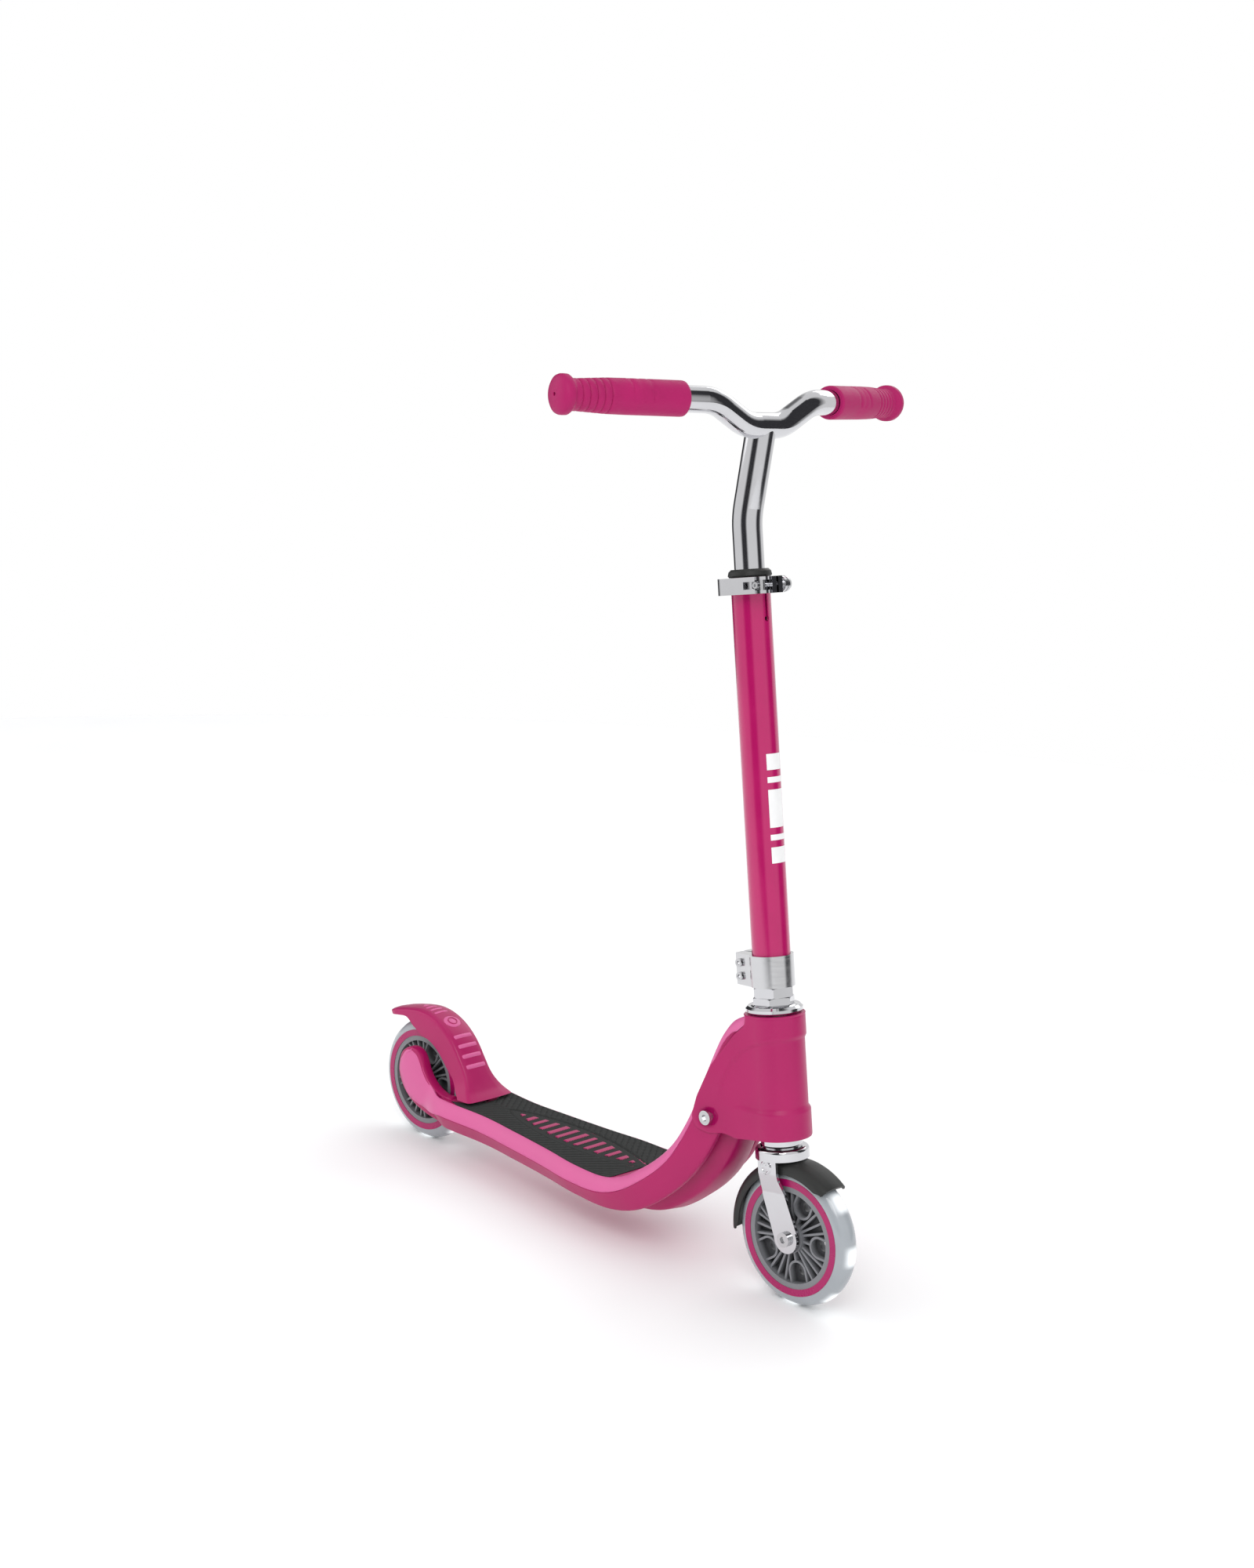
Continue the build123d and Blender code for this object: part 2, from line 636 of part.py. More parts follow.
def quick_lever():
    """Cam lever: two cheeks on the barrel, and a curved blade that wraps the clamp."""
    low = quick_low_w
    high = quick_top_w
    pin_v = -barrel_out
    cheek_t = 2.8
    cheek = Circle(cheek_r)
    cheek = Pos(quick_bolt_u, pin_v) * cheek
    neck = polygon([(quick_bolt_u - cheek_r, pin_v), (quick_bolt_u + 2.0, pin_v - cheek_r + 0.4),
                    (quick_bolt_u + 2.0, pin_v - 9.5), (quick_bolt_u - 14.0, pin_v - 10.5)])
    cheeks = Pos(0, 0, low) * extrude(cheek + neck, cheek_t)
    cheeks += Pos(0, 0, high - cheek_t) * extrude(cheek + neck, cheek_t)
    spine = Spline((quick_bolt_u + 2.0, pin_v - 9.4), (quick_bolt_u - 14.0, pin_v - 11.6),
                   (quick_bolt_u - 30.0, pin_v - 12.4), (quick_bolt_u - 41.0, pin_v - 9.0))
    blade_face = make_face(
        [spine, Line(spine @ 1, (quick_bolt_u - 39.8, pin_v - 9.0 + lever_t)),
         Spline((quick_bolt_u - 39.8, pin_v - 9.0 + lever_t), (quick_bolt_u - 29.5, pin_v - 12.4 + lever_t),
                (quick_bolt_u - 14.0, pin_v - 11.6 + lever_t), (quick_bolt_u + 2.0, pin_v - 9.4 + lever_t)),
         Line((quick_bolt_u + 2.0, pin_v - 9.4 + lever_t), spine @ 0)])
    blade = Pos(0, 0, low) * extrude(blade_face, quick_h)
    window = block(quick_bolt_u - 10.0, quick_bolt_u + 5.0, pin_v - 16, pin_v - 5, quick_mid_w - 3.2, quick_mid_w + 3.2)
    body = cheeks + blade - window
    return body - rod_z(barrel_r + run, low - 1, high + 1, quick_bolt_u, pin_v)


def quick_parts():
    add("quick_clamp_collar", steered(quick_collar()))
    add("quick_release_lever", steered(quick_lever()))
    pin_v = -barrel_out
    barrel = rod_z(barrel_r, quick_low_w + 0.3, quick_top_w - 0.3, quick_bolt_u, pin_v)
    barrel -= rod_y(quick_bolt_r + slip, pin_v - 8, pin_v + 8, quick_bolt_u, quick_mid_w)
    add("quick_release_pin", steered(barrel))
    bolt = rod_y(quick_bolt_r, pin_v - barrel_r - 0.4, 15.0, quick_bolt_u, quick_mid_w)
    bolt += socket_head(2.9, pin_v - barrel_r - 3.0, pin_v - barrel_r - 0.2, quick_bolt_u, quick_mid_w)
    add("quick_release_bolt", steered(bolt))
    face = quick_slot / 2 + quick_ear_t + slip
    nut = rod_y(5.2, face, face + 3.2, quick_bolt_u, quick_mid_w)
    nut += rod_y(7.1, face + 3.0, face + 8.0, quick_bolt_u, quick_mid_w)
    nut += (Pos(quick_bolt_u, face + 8.0, quick_mid_w) * Sphere(7.1)) & block(
        quick_bolt_u - 9, quick_bolt_u + 9, face + 7.0, face + 18, quick_mid_w - 9, quick_mid_w + 9)
    groove = rod_y(8.0, face + 6.2, face + 7.0, quick_bolt_u, quick_mid_w)
    nut -= groove - rod_y(6.3, face + 6, face + 8, quick_bolt_u, quick_mid_w)
    nut -= rod_y(quick_bolt_r, face - 1, 15.3, quick_bolt_u, quick_mid_w)
    add("quick_release_nut", steered(nut))


# ---------------------------------------------------------------- head casing
def casing_solid(inset=0.0, extra=0.0):
    low = casing_low_w - 6.0
    high = casing_top_w
    lower = Plane(origin=(0, 0, low)) * polygon([
        (4.0, -casing_r + inset), (4.0, casing_r - inset), (-76.0, 45.5 - inset), (-76.0, -45.5 + inset)])
    upper = Plane(origin=(0, 0, high)) * polygon([
        (4.0, -casing_r + inset), (4.0, casing_r - inset), (-30.0, 27.0 - inset), (-30.0, -27.0 + inset)])
    wedge = loft([lower, upper], ruled=True)
    nose = rod_z(casing_r - inset + extra, low, high)
    return wedge + nose


def casing_side():
    """Side outline of the casing in the steering frame: seam, bolt lobe and arch."""
    low = casing_low_w
    high = casing_top_w
    points = [
        (40.0, low), (-26.0, low), (-34.0, lobe_w - 5.0), (-40.0, lobe_w - 6.0), (-49.5, lobe_w - 22.0),
        (-60.0, lobe_w - 16.5), (-68.5, lobe_w), (-62.5, lobe_w + 18.0), (-47.0, high - 45.0),
        (-24.0, high - 18.0), (-12.0, high - 8.0), (-12.0, high), (40.0, high)]
    return rounded(points, 3.2)


def head_casing():
    low = casing_low_w
    high = casing_top_w
    outer = casing_solid()
    outer += rod_z(casing_r + casing_band, high - 19.0, high)
    outer += rod_z(casing_r + casing_band + 0.3, low, low + 26.0)
    inner = casing_solid(casing_wall) - rod_z(60, high - casing_wall, high + 5)
    body = (outer - inner) & side_plate(casing_side(), -60, 60)
    body -= rod_z(cup_r + 0.6, high - 10, high + 1)
    seat = bolt_seat()
    body += both_sides(rod_y(lobe_pad_r, seat - 6.0, seat, lobe_u, lobe_w))
    body -= both_sides(rod_y(lobe_pad_r, seat, seat + 10.0, lobe_u, lobe_w))
    body -= rod_y(lobe_bolt_r + slip, -60, 60, lobe_u, lobe_w)
    return body


def casing_zone():
    """The casing's outline grown by a clearance: what the deck body keeps out of."""
    grown = casing_solid(-gap, gap)
    grown += rod_z(casing_r + casing_band + gap, casing_top_w - 20.0, casing_top_w + 3.0)
    side = offset(casing_side(), gap)
    return grown & side_plate(side, -60, 60)


# ---------------------------------------------------------------- deck, neck and arms
def stations():
    """Sections of the deck and neck, rear to front: X, Z, rise angle, half width, thickness."""
    f = front_x
    r = rear_x
    top = deck_top_z
    front_half = deck_front_half
    waist = deck_waist_half
    return [
        (r + 33.0, top, 0.0, waist - 10.5, deck_t),
        (r + 49.0, top, 0.0, waist - 3.5, deck_t),
        (r + 68.0, top, 0.0, waist + 2.5, deck_t),
        (r + 122.0, top, 0.0, waist, deck_t),
        ((r + 122.0 + f - 280.0) / 2, top, 0.0, waist + 4.0, deck_t),
        (f - 280.0, top, 0.0, front_half - 7.0, deck_t),
        (f - 235.0, top, 0.0, front_half - 1.0, deck_t),
        (f - 200.0, top + 1.0, 6.0, front_half, deck_t + 1.0),
        (f - 160.0, top + 15.0, 35.0, front_half - 2.0, deck_t + 6.0),
        (f - 123.0, top + 49.0, 51.0, front_half - 7.0, deck_t + 5.0),
        (f - 105.0, top + 84.0, 70.0, front_half - 14.0, deck_t + 4.0),
        (f - 94.5, top + 125.0, 75.0, front_half - 21.0, deck_t + 2.0),
        (f - 84.0, top + 160.0, 70.0, front_half - 26.0, deck_t - 4.0),
        (f - 74.0, top + 178.0, 50.0, front_half - 28.5, deck_t - 10.0),
        (f - 59.0, top + 188.0, 28.0, front_half - 30.0, deck_t - 14.0)]


def section_plane(x, z, rise):
    """Plane across the deck's path: its X is world Y, and its Y points out of the top face."""
    tangent = Vector(cos(radians(rise)), 0, sin(radians(rise)))
    return Plane(origin=(x, 0, z), x_dir=(0, 1, 0), z_dir=tangent)


def lofted(outline):
    """Loft an outline, given as a function of half width, thickness and rise, along the stations."""
    faces = []
    for x, z, rise, half, thick in stations():
        points = outline(half, thick, rise)
        faces.append(section_plane(x, z, rise) * polygon(points))
    return loft(faces)


def shoulder_out(rise):
    """Shoulders stand out less on the neck than on the deck."""
    return shoulder_w - 1.5 * min(rise / 70.0, 1.0)


def shoulder_down(rise):
    return shoulder_drop - 6.5 * min(rise / 70.0, 1.0)


def body_outline(half, thick, rise):
    out = shoulder_out(rise)
    down = shoulder_down(rise)
    lip = trim_t + slip
    right = [(half - lip, 0.0), (half + out - lip, -down - slip), (half + out, -down - slip),
             (half - 2.0, -thick)]
    return right + [(-a, b) for a, b in reversed(right)]


def cavity_outline(half, thick, rise):
    out = shoulder_out(rise)
    down = shoulder_down(rise)
    lip = trim_t + slip + deck_wall
    right = [(half - lip - 1.0, -deck_wall - mat_t), (half + out - lip - 2.0, -down - 1.0),
             (half - 2.0 - deck_wall - 1.0, -thick + cover_t)]
    return right + [(-a, b) for a, b in reversed(right)]


def trim_outline(side):
    def outline(half, thick, rise):
        out = shoulder_out(rise)
        down = shoulder_down(rise)
        points = [(half, 0.0), (half + out, -down), (half + out - trim_t, -down), (half - trim_t, 0.0)]
        return [(side * a, b) for a, b in points]
    return outline


def arm_face(inset=0.0):
    """Side outline of a rear arm: it hooks up and over the axle."""
    r = rear_x
    top = deck_top_z
    low = deck_low_z
    points = [(r + 66, low), (r + 34, low + 2), (r + 7, low + 10), (r - 11, low + 25), (r - 17.5, low + 45),
              (r - 9, low + 60), (r + 4, low + 64.5), (r + 15, low + 58), (r + 21, low + 45),
              (r + 34, top + 2), (r + 66, top)]
    moved = []
    for i, (x, z) in enumerate(points):
        ax, az = points[max(i - 1, 0)]
        bx, bz = points[min(i + 1, len(points) - 1)]
        length = sqrt((bx - ax) ** 2 + (bz - az) ** 2)
        moved.append((x + (bz - az) / length * inset, z - (bx - ax) / length * inset))
    curve = Spline(*moved)
    return make_face([curve, Line(curve @ 1, curve @ 0)])


def wheel_slot():
    slot = block(rear_x - 90, pin_x + 8.5, -arm_in, arm_in, 0, 200)
    return slot + block(pin_x, pin_x + brake_pocket, -arm_in, arm_in, pin_z - 6.0, 200)


def mat_plan(grow):
    rows = stations()[2:8]
    right = [(x, half - trim_t - 1.2 + grow) for x, z, rise, half, thick in rows]
    front_x_end = rows[-1][0] + 4.0 + grow
    right[-1] = (front_x_end, right[-1][1])
    edge_a = Spline(*right)
    edge_b = Spline(*[(x, -y) for x, y in right])
    face = make_face([edge_a, Line(edge_a @ 1, edge_b @ 1), edge_b, Line(edge_b @ 0, edge_a @ 0)])
    return face - Pos(pin_x - 6.0, 0) * Circle(28.0 - grow)


def deck_parts():
    zone = steered(casing_zone())
    head_clear = steered(rod_z(cap_r + 1.5, casing_top_w - 30, casing_top_w + 30))
    low_clear = steered(rod_z(head_tube_r + 2.0, 60, casing_top_w))
    keep_out = zone + head_clear + low_clear
    body = lofted(body_outline)
    arms = side_plate(arm_face(), arm_in, arm_out - arm_trim_t - slip) - lofted(trim_outline(1))
    arms = both_sides(arms)
    body = body + arms
    cavity = lofted(cavity_outline)
    cavity -= block(rear_x - 100, pin_x + brake_pocket + 3.0, -100, 100, 0, 200)
    body = body - cavity - wheel_slot() - keep_out
    mat_low = deck_top_z - mat_t
    recess = Pos(0, 0, mat_low - slip) * extrude(mat_plan(slip), mat_t + 10)
    recess = recess & block(-400, front_x - 190, -100, 100, 0, 200)
    body -= recess
    pocket = both_sides(rod_y(9.5, plate_out, plate_out + 9.0, rear_x, wheel_r))
    beam = side_plate(beam_face(beam_depth - slip, beam_depth + beam_h + slip, -slip), -plate_in - slip, plate_in + slip)
    plates = both_sides(side_plate(fork_plate_face(slip), plate_in - slip, plate_out + slip))
    body = body - pocket - beam - plates - both_sides(arm_panel(slip))
    screws = cover_screw_places()
    cover_front = front_x - 236.0
    cover_rear = pin_x + brake_pocket + 6.0
    body -= block(cover_rear - slip, cover_front + slip, -28.0 - slip, 28.0 + slip, 0, deck_low_z + cover_t)
    for x, y in screws:
        post = rod_z(4.0, deck_low_z + cover_t + slip, deck_top_z - mat_t - 1.0, x, y)
        body += post
        body -= rod_z(1.7, deck_low_z, deck_low_z + 18, x, y)
    trims = {}
    for name, side in (("right", -1), ("left", 1)):
        trim = lofted(trim_outline(side)) - wheel_slot() - keep_out
        plate = arm_panel(0.0)
        if side < 0:
            plate = mirror(plate, Plane.XZ)
        trims["shoulder_trim_" + name] = trim + plate
        body -= trims["shoulder_trim_" + name]
    add("deck_body", max(body.solids(), key=solid_volume))
    cover = block(cover_rear, cover_front, -28.0, 28.0, deck_low_z, deck_low_z + cover_t)
    cover = fillet(cover.edges().filter_by(Axis.Z), 5.0)
    for x, y in screws:
        cover -= rod_z(1.8, deck_low_z - 1, deck_low_z + 10, x, y)
        cover -= rod_z(3.4, deck_low_z - 1, deck_low_z + 1.6, x, y)
    add("underside_cover", cover)
    heads = []
    for x, y in screws:
        heads.append(rod_z(1.6, deck_low_z + 0.3, deck_low_z + 15, x, y) + rod_z(
            3.2, deck_low_z + 0.3, deck_low_z + 1.5, x, y))
    add("underside_screws", Compound(children=heads))
    mat = Pos(0, 0, mat_low) * extrude(mat_plan(0.0), mat_t)
    add("deck_mat", mat)
    for name, trim in trims.items():
        add(name, trim)


def arm_panel(grow):
    """Light panel on the outer face of a rear arm, or the room it needs."""
    outer = arm_out if grow == 0 else arm_out + 6.0
    panel = side_plate(arm_face(3.0 - grow), arm_out - arm_trim_t - grow, outer)
    return panel - block(rear_x + 46 + grow, rear_x + 100, -100, 100, 0, 200)


def cover_screw_places():
    first = pin_x + brake_pocket + 13.0
    last = front_x - 243.0
    return [(x, y) for x in (first, (first + last) / 2, last) for y in (-22.0, 22.0)]


# ---------------------------------------------------------------- steel frame
def beam_line(depth):
    """Points at a depth under the deck's top line, from behind the cover to inside the casing."""
    points = []
    for x, z, rise, half, thick in stations()[3:12]:
        points.append((x + depth * sin(radians(rise)), z - depth * cos(radians(rise))))
    return points


def beam_face(top_depth, low_depth, end_trim):
    rear = pin_x + brake_pocket + 2.0 + end_trim
    upper = [(rear, deck_top_z - top_depth)] + beam_line(top_depth)
    lower = [(rear, deck_top_z - low_depth)] + beam_line(low_depth)
    curve_a = Spline(*upper)
    curve_b = Spline(*lower)
    return make_face([curve_a, Line(curve_a @ 1, curve_b @ 1), curve_b, Line(curve_b @ 0, curve_a @ 0)])


def frame_parts():
    beam_top = beam_depth
    beam_low = beam_depth + beam_h
    half = beam_w / 2
    solid = side_plate(beam_face(beam_top, beam_low, 0.0), -half, half)
    hollow = side_plate(beam_face(beam_top + beam_wall, beam_low - beam_wall, 2.0), -half + beam_wall, half - beam_wall)
    beam = solid - hollow
    bolt = steered(rod_y(lobe_bolt_r + slip, -60, 60, lobe_u, lobe_w))
    add("frame_beam", beam - bolt)
    tube = tube_z(head_tube_r, head_tube_r - head_tube_wall, head_tube_low_w, head_tube_top_w)
    add("head_tube", steered(tube))
    face = rounded([(-2.0, head_tube_low_w + 8), (-2.0, head_tube_top_w - 18), (-20.0, head_tube_top_w - 18),
                    (-44.0, lobe_w + 42), (-60.0, lobe_w + 6), (-58.0, lobe_w - 9), (-44.0, lobe_w - 9),
                    (-24.0, head_tube_low_w + 8)], 2.0)
    bracket = both_sides(side_plate(face, half + slip, half + slip + plate_t))
    bracket -= rod_z(head_tube_r + slip, 0, 300)
    bracket -= rod_y(lobe_bolt_r + slip, -60, 60, lobe_u, lobe_w)
    add("neck_brackets", steered(bracket))
    seat = bolt_seat() + slip
    bolt = rod_y(lobe_bolt_r, -seat - 0.2, seat + 4.0, lobe_u, lobe_w)
    bolt += socket_head(6.5, -seat - 3.4, -seat, lobe_u, lobe_w)
    add("neck_bolt", steered(bolt))
    nut = hex_y(12.0, seat, seat + 5.0, lobe_u, lobe_w) - rod_y(lobe_bolt_r, 0, 80, lobe_u, lobe_w)
    add("neck_nut", steered(nut))
    plate = side_plate(fork_plate_face(0.0), plate_in, plate_out)
    plate -= rod_y(axle_r + slip, 0, 40, rear_x, wheel_r)
    plate -= rod_y(brake_pin_r + run, 0, 40, pin_x, pin_z)
    add("rear_fork_plates", both_sides(plate))


def fork_plate_face(grow):
    """Side outline of the plates that carry the rear axle and the brake's pin."""
    r = rear_x
    high = deck_top_z - beam_depth - 3.0 + grow
    low = deck_top_z - beam_depth - beam_h + 1.0 - grow
    front = pin_x + brake_pocket + 36.0 + grow
    return rounded([(front, high), (pin_x - 4, high), (r + 8, wheel_r + 13 + grow), (r - 12 - grow, wheel_r + 12),
                    (r - 13 - grow, wheel_r - 12), (r + 6, wheel_r - 14 - grow), (pin_x - 6, low), (front, low)], 5.0)


def bolt_seat():
    """How far out the neck bolt's flat seat is: just proud of the casing's skin at the bolt."""
    low = casing_low_w - 6.0
    share = (lobe_w - low) / (casing_top_w - low)
    rear_u = -76.0 + share * 46.0
    rear_v = 45.5 - share * 18.5
    along = (lobe_u - 4.0) / (rear_u - 4.0)
    return casing_r + along * (rear_v - casing_r) + 1.0


# ---------------------------------------------------------------- brake
def brake_parts():
    cx = rear_x
    cz = wheel_r

    def on_arc(r, deg):
        return (cx + r * cos(radians(deg)), cz + r * sin(radians(deg)))

    out_arc = ThreePointArc(on_arc(brake_out_r + 2.0, 34), on_arc(brake_out_r + 0.4, 66), on_arc(brake_out_r - 0.5, 100))
    tip_up = Spline(out_arc @ 1, on_arc(brake_out_r + 2.5, 118), on_arc(brake_out_r + 6.5, 130))
    tip_end = ThreePointArc(tip_up @ 1, on_arc(brake_out_r + 3.0, 133.5), on_arc(brake_out_r - 1.5, 131))
    tip_low = Spline(tip_end @ 1, on_arc(brake_in_r + 1.4, 120), on_arc(brake_in_r, 106))
    in_arc = ThreePointArc(tip_low @ 1, on_arc(brake_in_r, 60), on_arc(brake_in_r, 12))
    heel = Polyline(in_arc @ 1, (pin_x - 7.5, pin_z - 1), (pin_x - 3, pin_z - 7), (pin_x + 4, pin_z - 7),
                    (pin_x + 8.0, pin_z + 1), (pin_x + 15.0, deck_top_z + 3.0), (pin_x + 15.0, deck_top_z + 6.5))
    front = Spline(heel @ 1, (pin_x + 1.0, deck_top_z + 20.0), out_arc @ 0)
    web = make_face([out_arc, tip_up, tip_end, tip_low, in_arc, heel, front])
    half = brake_half_w
    upper = side_plate(web, -half, half)
    upper -= block(cx - 200, cx + 200, plate_in - gap, half + 1, 0, deck_top_z + 2.5)
    upper -= block(cx - 200, cx + 200, -half - 1, -plate_in + gap, 0, deck_top_z + 2.5)
    skirt_r = brake_in_r - brake_skirt_drop
    sector = polygon([(cx, cz)] + [on_arc(120, a) for a in (22, 40, 70, 96)])
    skirt_face = (Pos(cx, cz) * Circle(brake_in_r + 1) - Pos(cx, cz) * Circle(skirt_r)) & sector
    skirts = both_sides(side_plate(skirt_face, half - brake_skirt_t, half))
    body = upper + skirts
    body -= rod_y(brake_pin_r + run, -30, 30, pin_x, pin_z)
    bars = []
    for deg, bar_half in ((43, 12.5), (50, 12.0), (57, 11.5), (64, 11.0), (88, 7.5), (93, 6.5), (98, 5.5)):
        bar = Pos(cx, 0, cz) * Rot(0, -deg, 0) * Pos(brake_out_r + 0.5, 0, 0) * Box(5.0, 2 * bar_half, 3.2)
        bars.append(bar)
    disc = Pos(cx, 0, cz) * Rot(0, -76, 0) * Pos(brake_out_r + 0.5, 0, 0) * Rot(0, 90, 0) * Cylinder(7.5, 5.0)
    bars.append(disc)
    inlays = fused(bars) & side_plate(web, -half, half)
    body -= inlays
    add("brake_fender", body)
    add("brake_inlays", inlays)
    add("brake_pivot_pin", rod_y(brake_pin_r, -plate_out, plate_out, pin_x, pin_z))


def main():
    lower_front()
    add_wheel("front", front_x, leg_out)
    add_wheel("rear", rear_x, plate_out)
    stem_parts()
    quick_parts()
    add("head_casing", steered(head_casing()))
    deck_parts()
    frame_parts()
    brake_parts()
    os.makedirs("parts", exist_ok=True)
    for name, shape in nodes.items():
        export_step(shape, "parts/" + name + ".step")
        print(name)


main()
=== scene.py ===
"""Looks of the kick scooter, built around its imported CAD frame. Lengths below are in millimetres."""
import json
import math

import bmesh
import bpy
import numpy as np
from mathutils import Matrix, Vector
from mathutils.geometry import delaunay_2d_cdt
from mathutils.kdtree import KDTree

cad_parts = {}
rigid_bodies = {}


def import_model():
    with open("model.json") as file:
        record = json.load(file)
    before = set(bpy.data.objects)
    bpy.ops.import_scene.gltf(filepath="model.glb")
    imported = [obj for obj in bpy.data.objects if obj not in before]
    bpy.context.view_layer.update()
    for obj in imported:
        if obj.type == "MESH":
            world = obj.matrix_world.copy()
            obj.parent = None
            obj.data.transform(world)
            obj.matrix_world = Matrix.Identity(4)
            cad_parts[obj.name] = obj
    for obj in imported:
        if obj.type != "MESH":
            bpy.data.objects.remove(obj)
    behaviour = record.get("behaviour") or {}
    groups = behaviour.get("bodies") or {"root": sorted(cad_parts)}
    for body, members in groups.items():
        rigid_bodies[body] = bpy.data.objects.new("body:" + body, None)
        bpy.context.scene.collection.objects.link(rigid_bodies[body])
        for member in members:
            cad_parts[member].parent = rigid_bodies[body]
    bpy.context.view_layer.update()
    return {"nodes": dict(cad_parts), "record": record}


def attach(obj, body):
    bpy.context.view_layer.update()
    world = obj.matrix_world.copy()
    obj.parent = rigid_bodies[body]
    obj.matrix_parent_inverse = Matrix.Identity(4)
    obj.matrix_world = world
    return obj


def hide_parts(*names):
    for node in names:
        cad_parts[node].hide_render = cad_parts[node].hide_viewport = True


for stale in list(bpy.data.objects):
    bpy.data.objects.remove(stale)
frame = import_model()
nodes = frame["nodes"]

MM = 0.001
FRONT_X = 253.5
REAR_X = -253.5
AXLE_Z = 62.5
FORK_OFFSET = 13.2
RAKE = math.radians(9.35)
FOOT_X = FRONT_X - FORK_OFFSET * math.cos(RAKE)
FOOT_Z = AXLE_Z - FORK_OFFSET * math.sin(RAKE)
SLOT_HALF = 18.3
MAT_TOP = 64.5
MAT_THICK = 2.6
CASING_WALL = 2.6
SEAM = 0.45
CUTTER_HALF = 70.0
BRAKE_HALF = 17.0
BRAKE_INNER = 66.0
STEM_TOP = 577.1
BEND = math.radians(16.7)
SWEEP = math.radians(12.48)
GRIP_OUT = 206.0
GRIP_IN = 61.0
BAR_DROP = 20.2
CASING_LOW = 87.3
CASING_TOP = 197.3
NOSE_R = 25.4
LOBE_U = -51.9
LOBE_W = 105.0
PIN_X = REAR_X + 75.0
BADGE_DEG = 66.0
BRAKE_R = 75.0
LENS_MID = -32.0
LENS_HALF = 98.0
LENS_WIDE = 23.0
BAR_PITCH = 13.0
CHEVRON_PITCH = 7.6
MAT_REAR = -171.0


# ---------------------------------------------------------------- geometry helpers
def to_world(u, v, w):
    """World place of a point of the steering frame (u forward, v left, w along the axis)."""
    x = FOOT_X + u * math.cos(RAKE) - w * math.sin(RAKE)
    z = FOOT_Z + u * math.sin(RAKE) + w * math.cos(RAKE)
    return (x, v, z)


STEER_BASE = Vector(to_world(0, 0, 0))
STEER_AXIS = Vector(to_world(0, 0, 1)) - STEER_BASE


def smooth(t):
    """Smooth step from 0 to 1."""
    t = np.clip(t, 0.0, 1.0)
    return t * t * (3 - 2 * t)


def pchip(xs, ys, x):
    """Monotone cubic interpolation of a table."""
    xs = np.asarray(xs, float)
    ys = np.asarray(ys, float)
    h = np.diff(xs)
    d = np.diff(ys) / h
    m = np.zeros(len(xs))
    m[0] = d[0]
    m[-1] = d[-1]
    for i in range(1, len(xs) - 1):
        if d[i - 1] * d[i] > 0:
            w1 = 2 * h[i] + h[i - 1]
            w2 = h[i] + 2 * h[i - 1]
            m[i] = (w1 + w2) / (w1 / d[i - 1] + w2 / d[i])
    x = np.clip(np.asarray(x, float), xs[0], xs[-1])
    i = np.clip(np.searchsorted(xs, x, side="right") - 1, 0, len(h) - 1)
    t = (x - xs[i]) / h[i]
    a = (1 + 2 * t) * (1 - t) ** 2
    b = t * (1 - t) ** 2
    c = t * t * (3 - 2 * t)
    e = t * t * (t - 1)
    return a * ys[i] + b * h[i] * m[i] + c * ys[i + 1] + e * h[i] * m[i + 1]


def catmull(points, per=8, closed=False):
    """Smooth curve through points, as an array of points."""
    p = np.asarray(points, float)
    n = len(p)
    out = []
    last = n if closed else n - 1
    for i in range(last):
        p1 = p[i]
        p2 = p[(i + 1) % n]
        p0 = p[(i - 1) % n] if closed or i > 0 else 2 * p1 - p2
        p3 = p[(i + 2) % n] if closed or i < n - 2 else 2 * p2 - p1
        for k in range(per):
            t = k / per
            out.append(0.5 * ((2 * p1) + (p2 - p0) * t + (2 * p0 - 5 * p1 + 4 * p2 - p3) * t * t
                              + (3 * p1 - p0 - 3 * p2 + p3) * t ** 3))
    if not closed:
        out.append(p[-1])
    return np.array(out)


def round_corners(points, radii, seg=5, closed=True):
    """Polygon with each corner turned into an arc of seg steps; a fixed count of points."""
    p = [np.asarray(q, float) for q in points]
    n = len(p)
    out = []
    for i in range(n):
        if not closed and i in (0, n - 1):
            out.append(p[i])
            continue
        a = p[i - 1] - p[i]
        b = p[(i + 1) % n] - p[i]
        la = np.linalg.norm(a)
        lb = np.linalg.norm(b)
        a = a / max(la, 1e-9)
        b = b / max(lb, 1e-9)
        half = math.acos(max(-1.0, min(1.0, float(np.dot(a, b))))) / 2
        trim = min(radii[i] / max(math.tan(half), 1e-6), la * 0.45, lb * 0.45)
        s = p[i] + a * trim
        e = p[i] + b * trim
        for k in range(seg + 1):
            t = k / seg
            out.append((1 - t) ** 2 * s + 2 * t * (1 - t) * p[i] + t * t * e)
    return np.array(out)


def new_object(name, verts, faces, finish, body, replaced=(), angle=35.0):
    """Make a mesh object from millimetre points and hang it on a body, in a finish."""
    obj = helper_solid(verts, faces, name)
    obj.data.materials.append(materials[finish])
    shade(obj.data, angle)
    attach(obj, body)
    if replaced:
        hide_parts(*replaced)
    return obj


def tidy_mesh(mesh):
    bm = bmesh.new()
    bm.from_mesh(mesh)
    bmesh.ops.remove_doubles(bm, verts=bm.verts, dist=0.00001)
    bmesh.ops.dissolve_degenerate(bm, edges=bm.edges, dist=0.000004)
    bmesh.ops.recalc_face_normals(bm, faces=bm.faces)
    bm.to_mesh(mesh)
    bm.free()


def shade(mesh, angle):
    for poly in mesh.polygons:
        poly.use_smooth = True
    mesh.set_sharp_from_angle(angle=math.radians(angle))


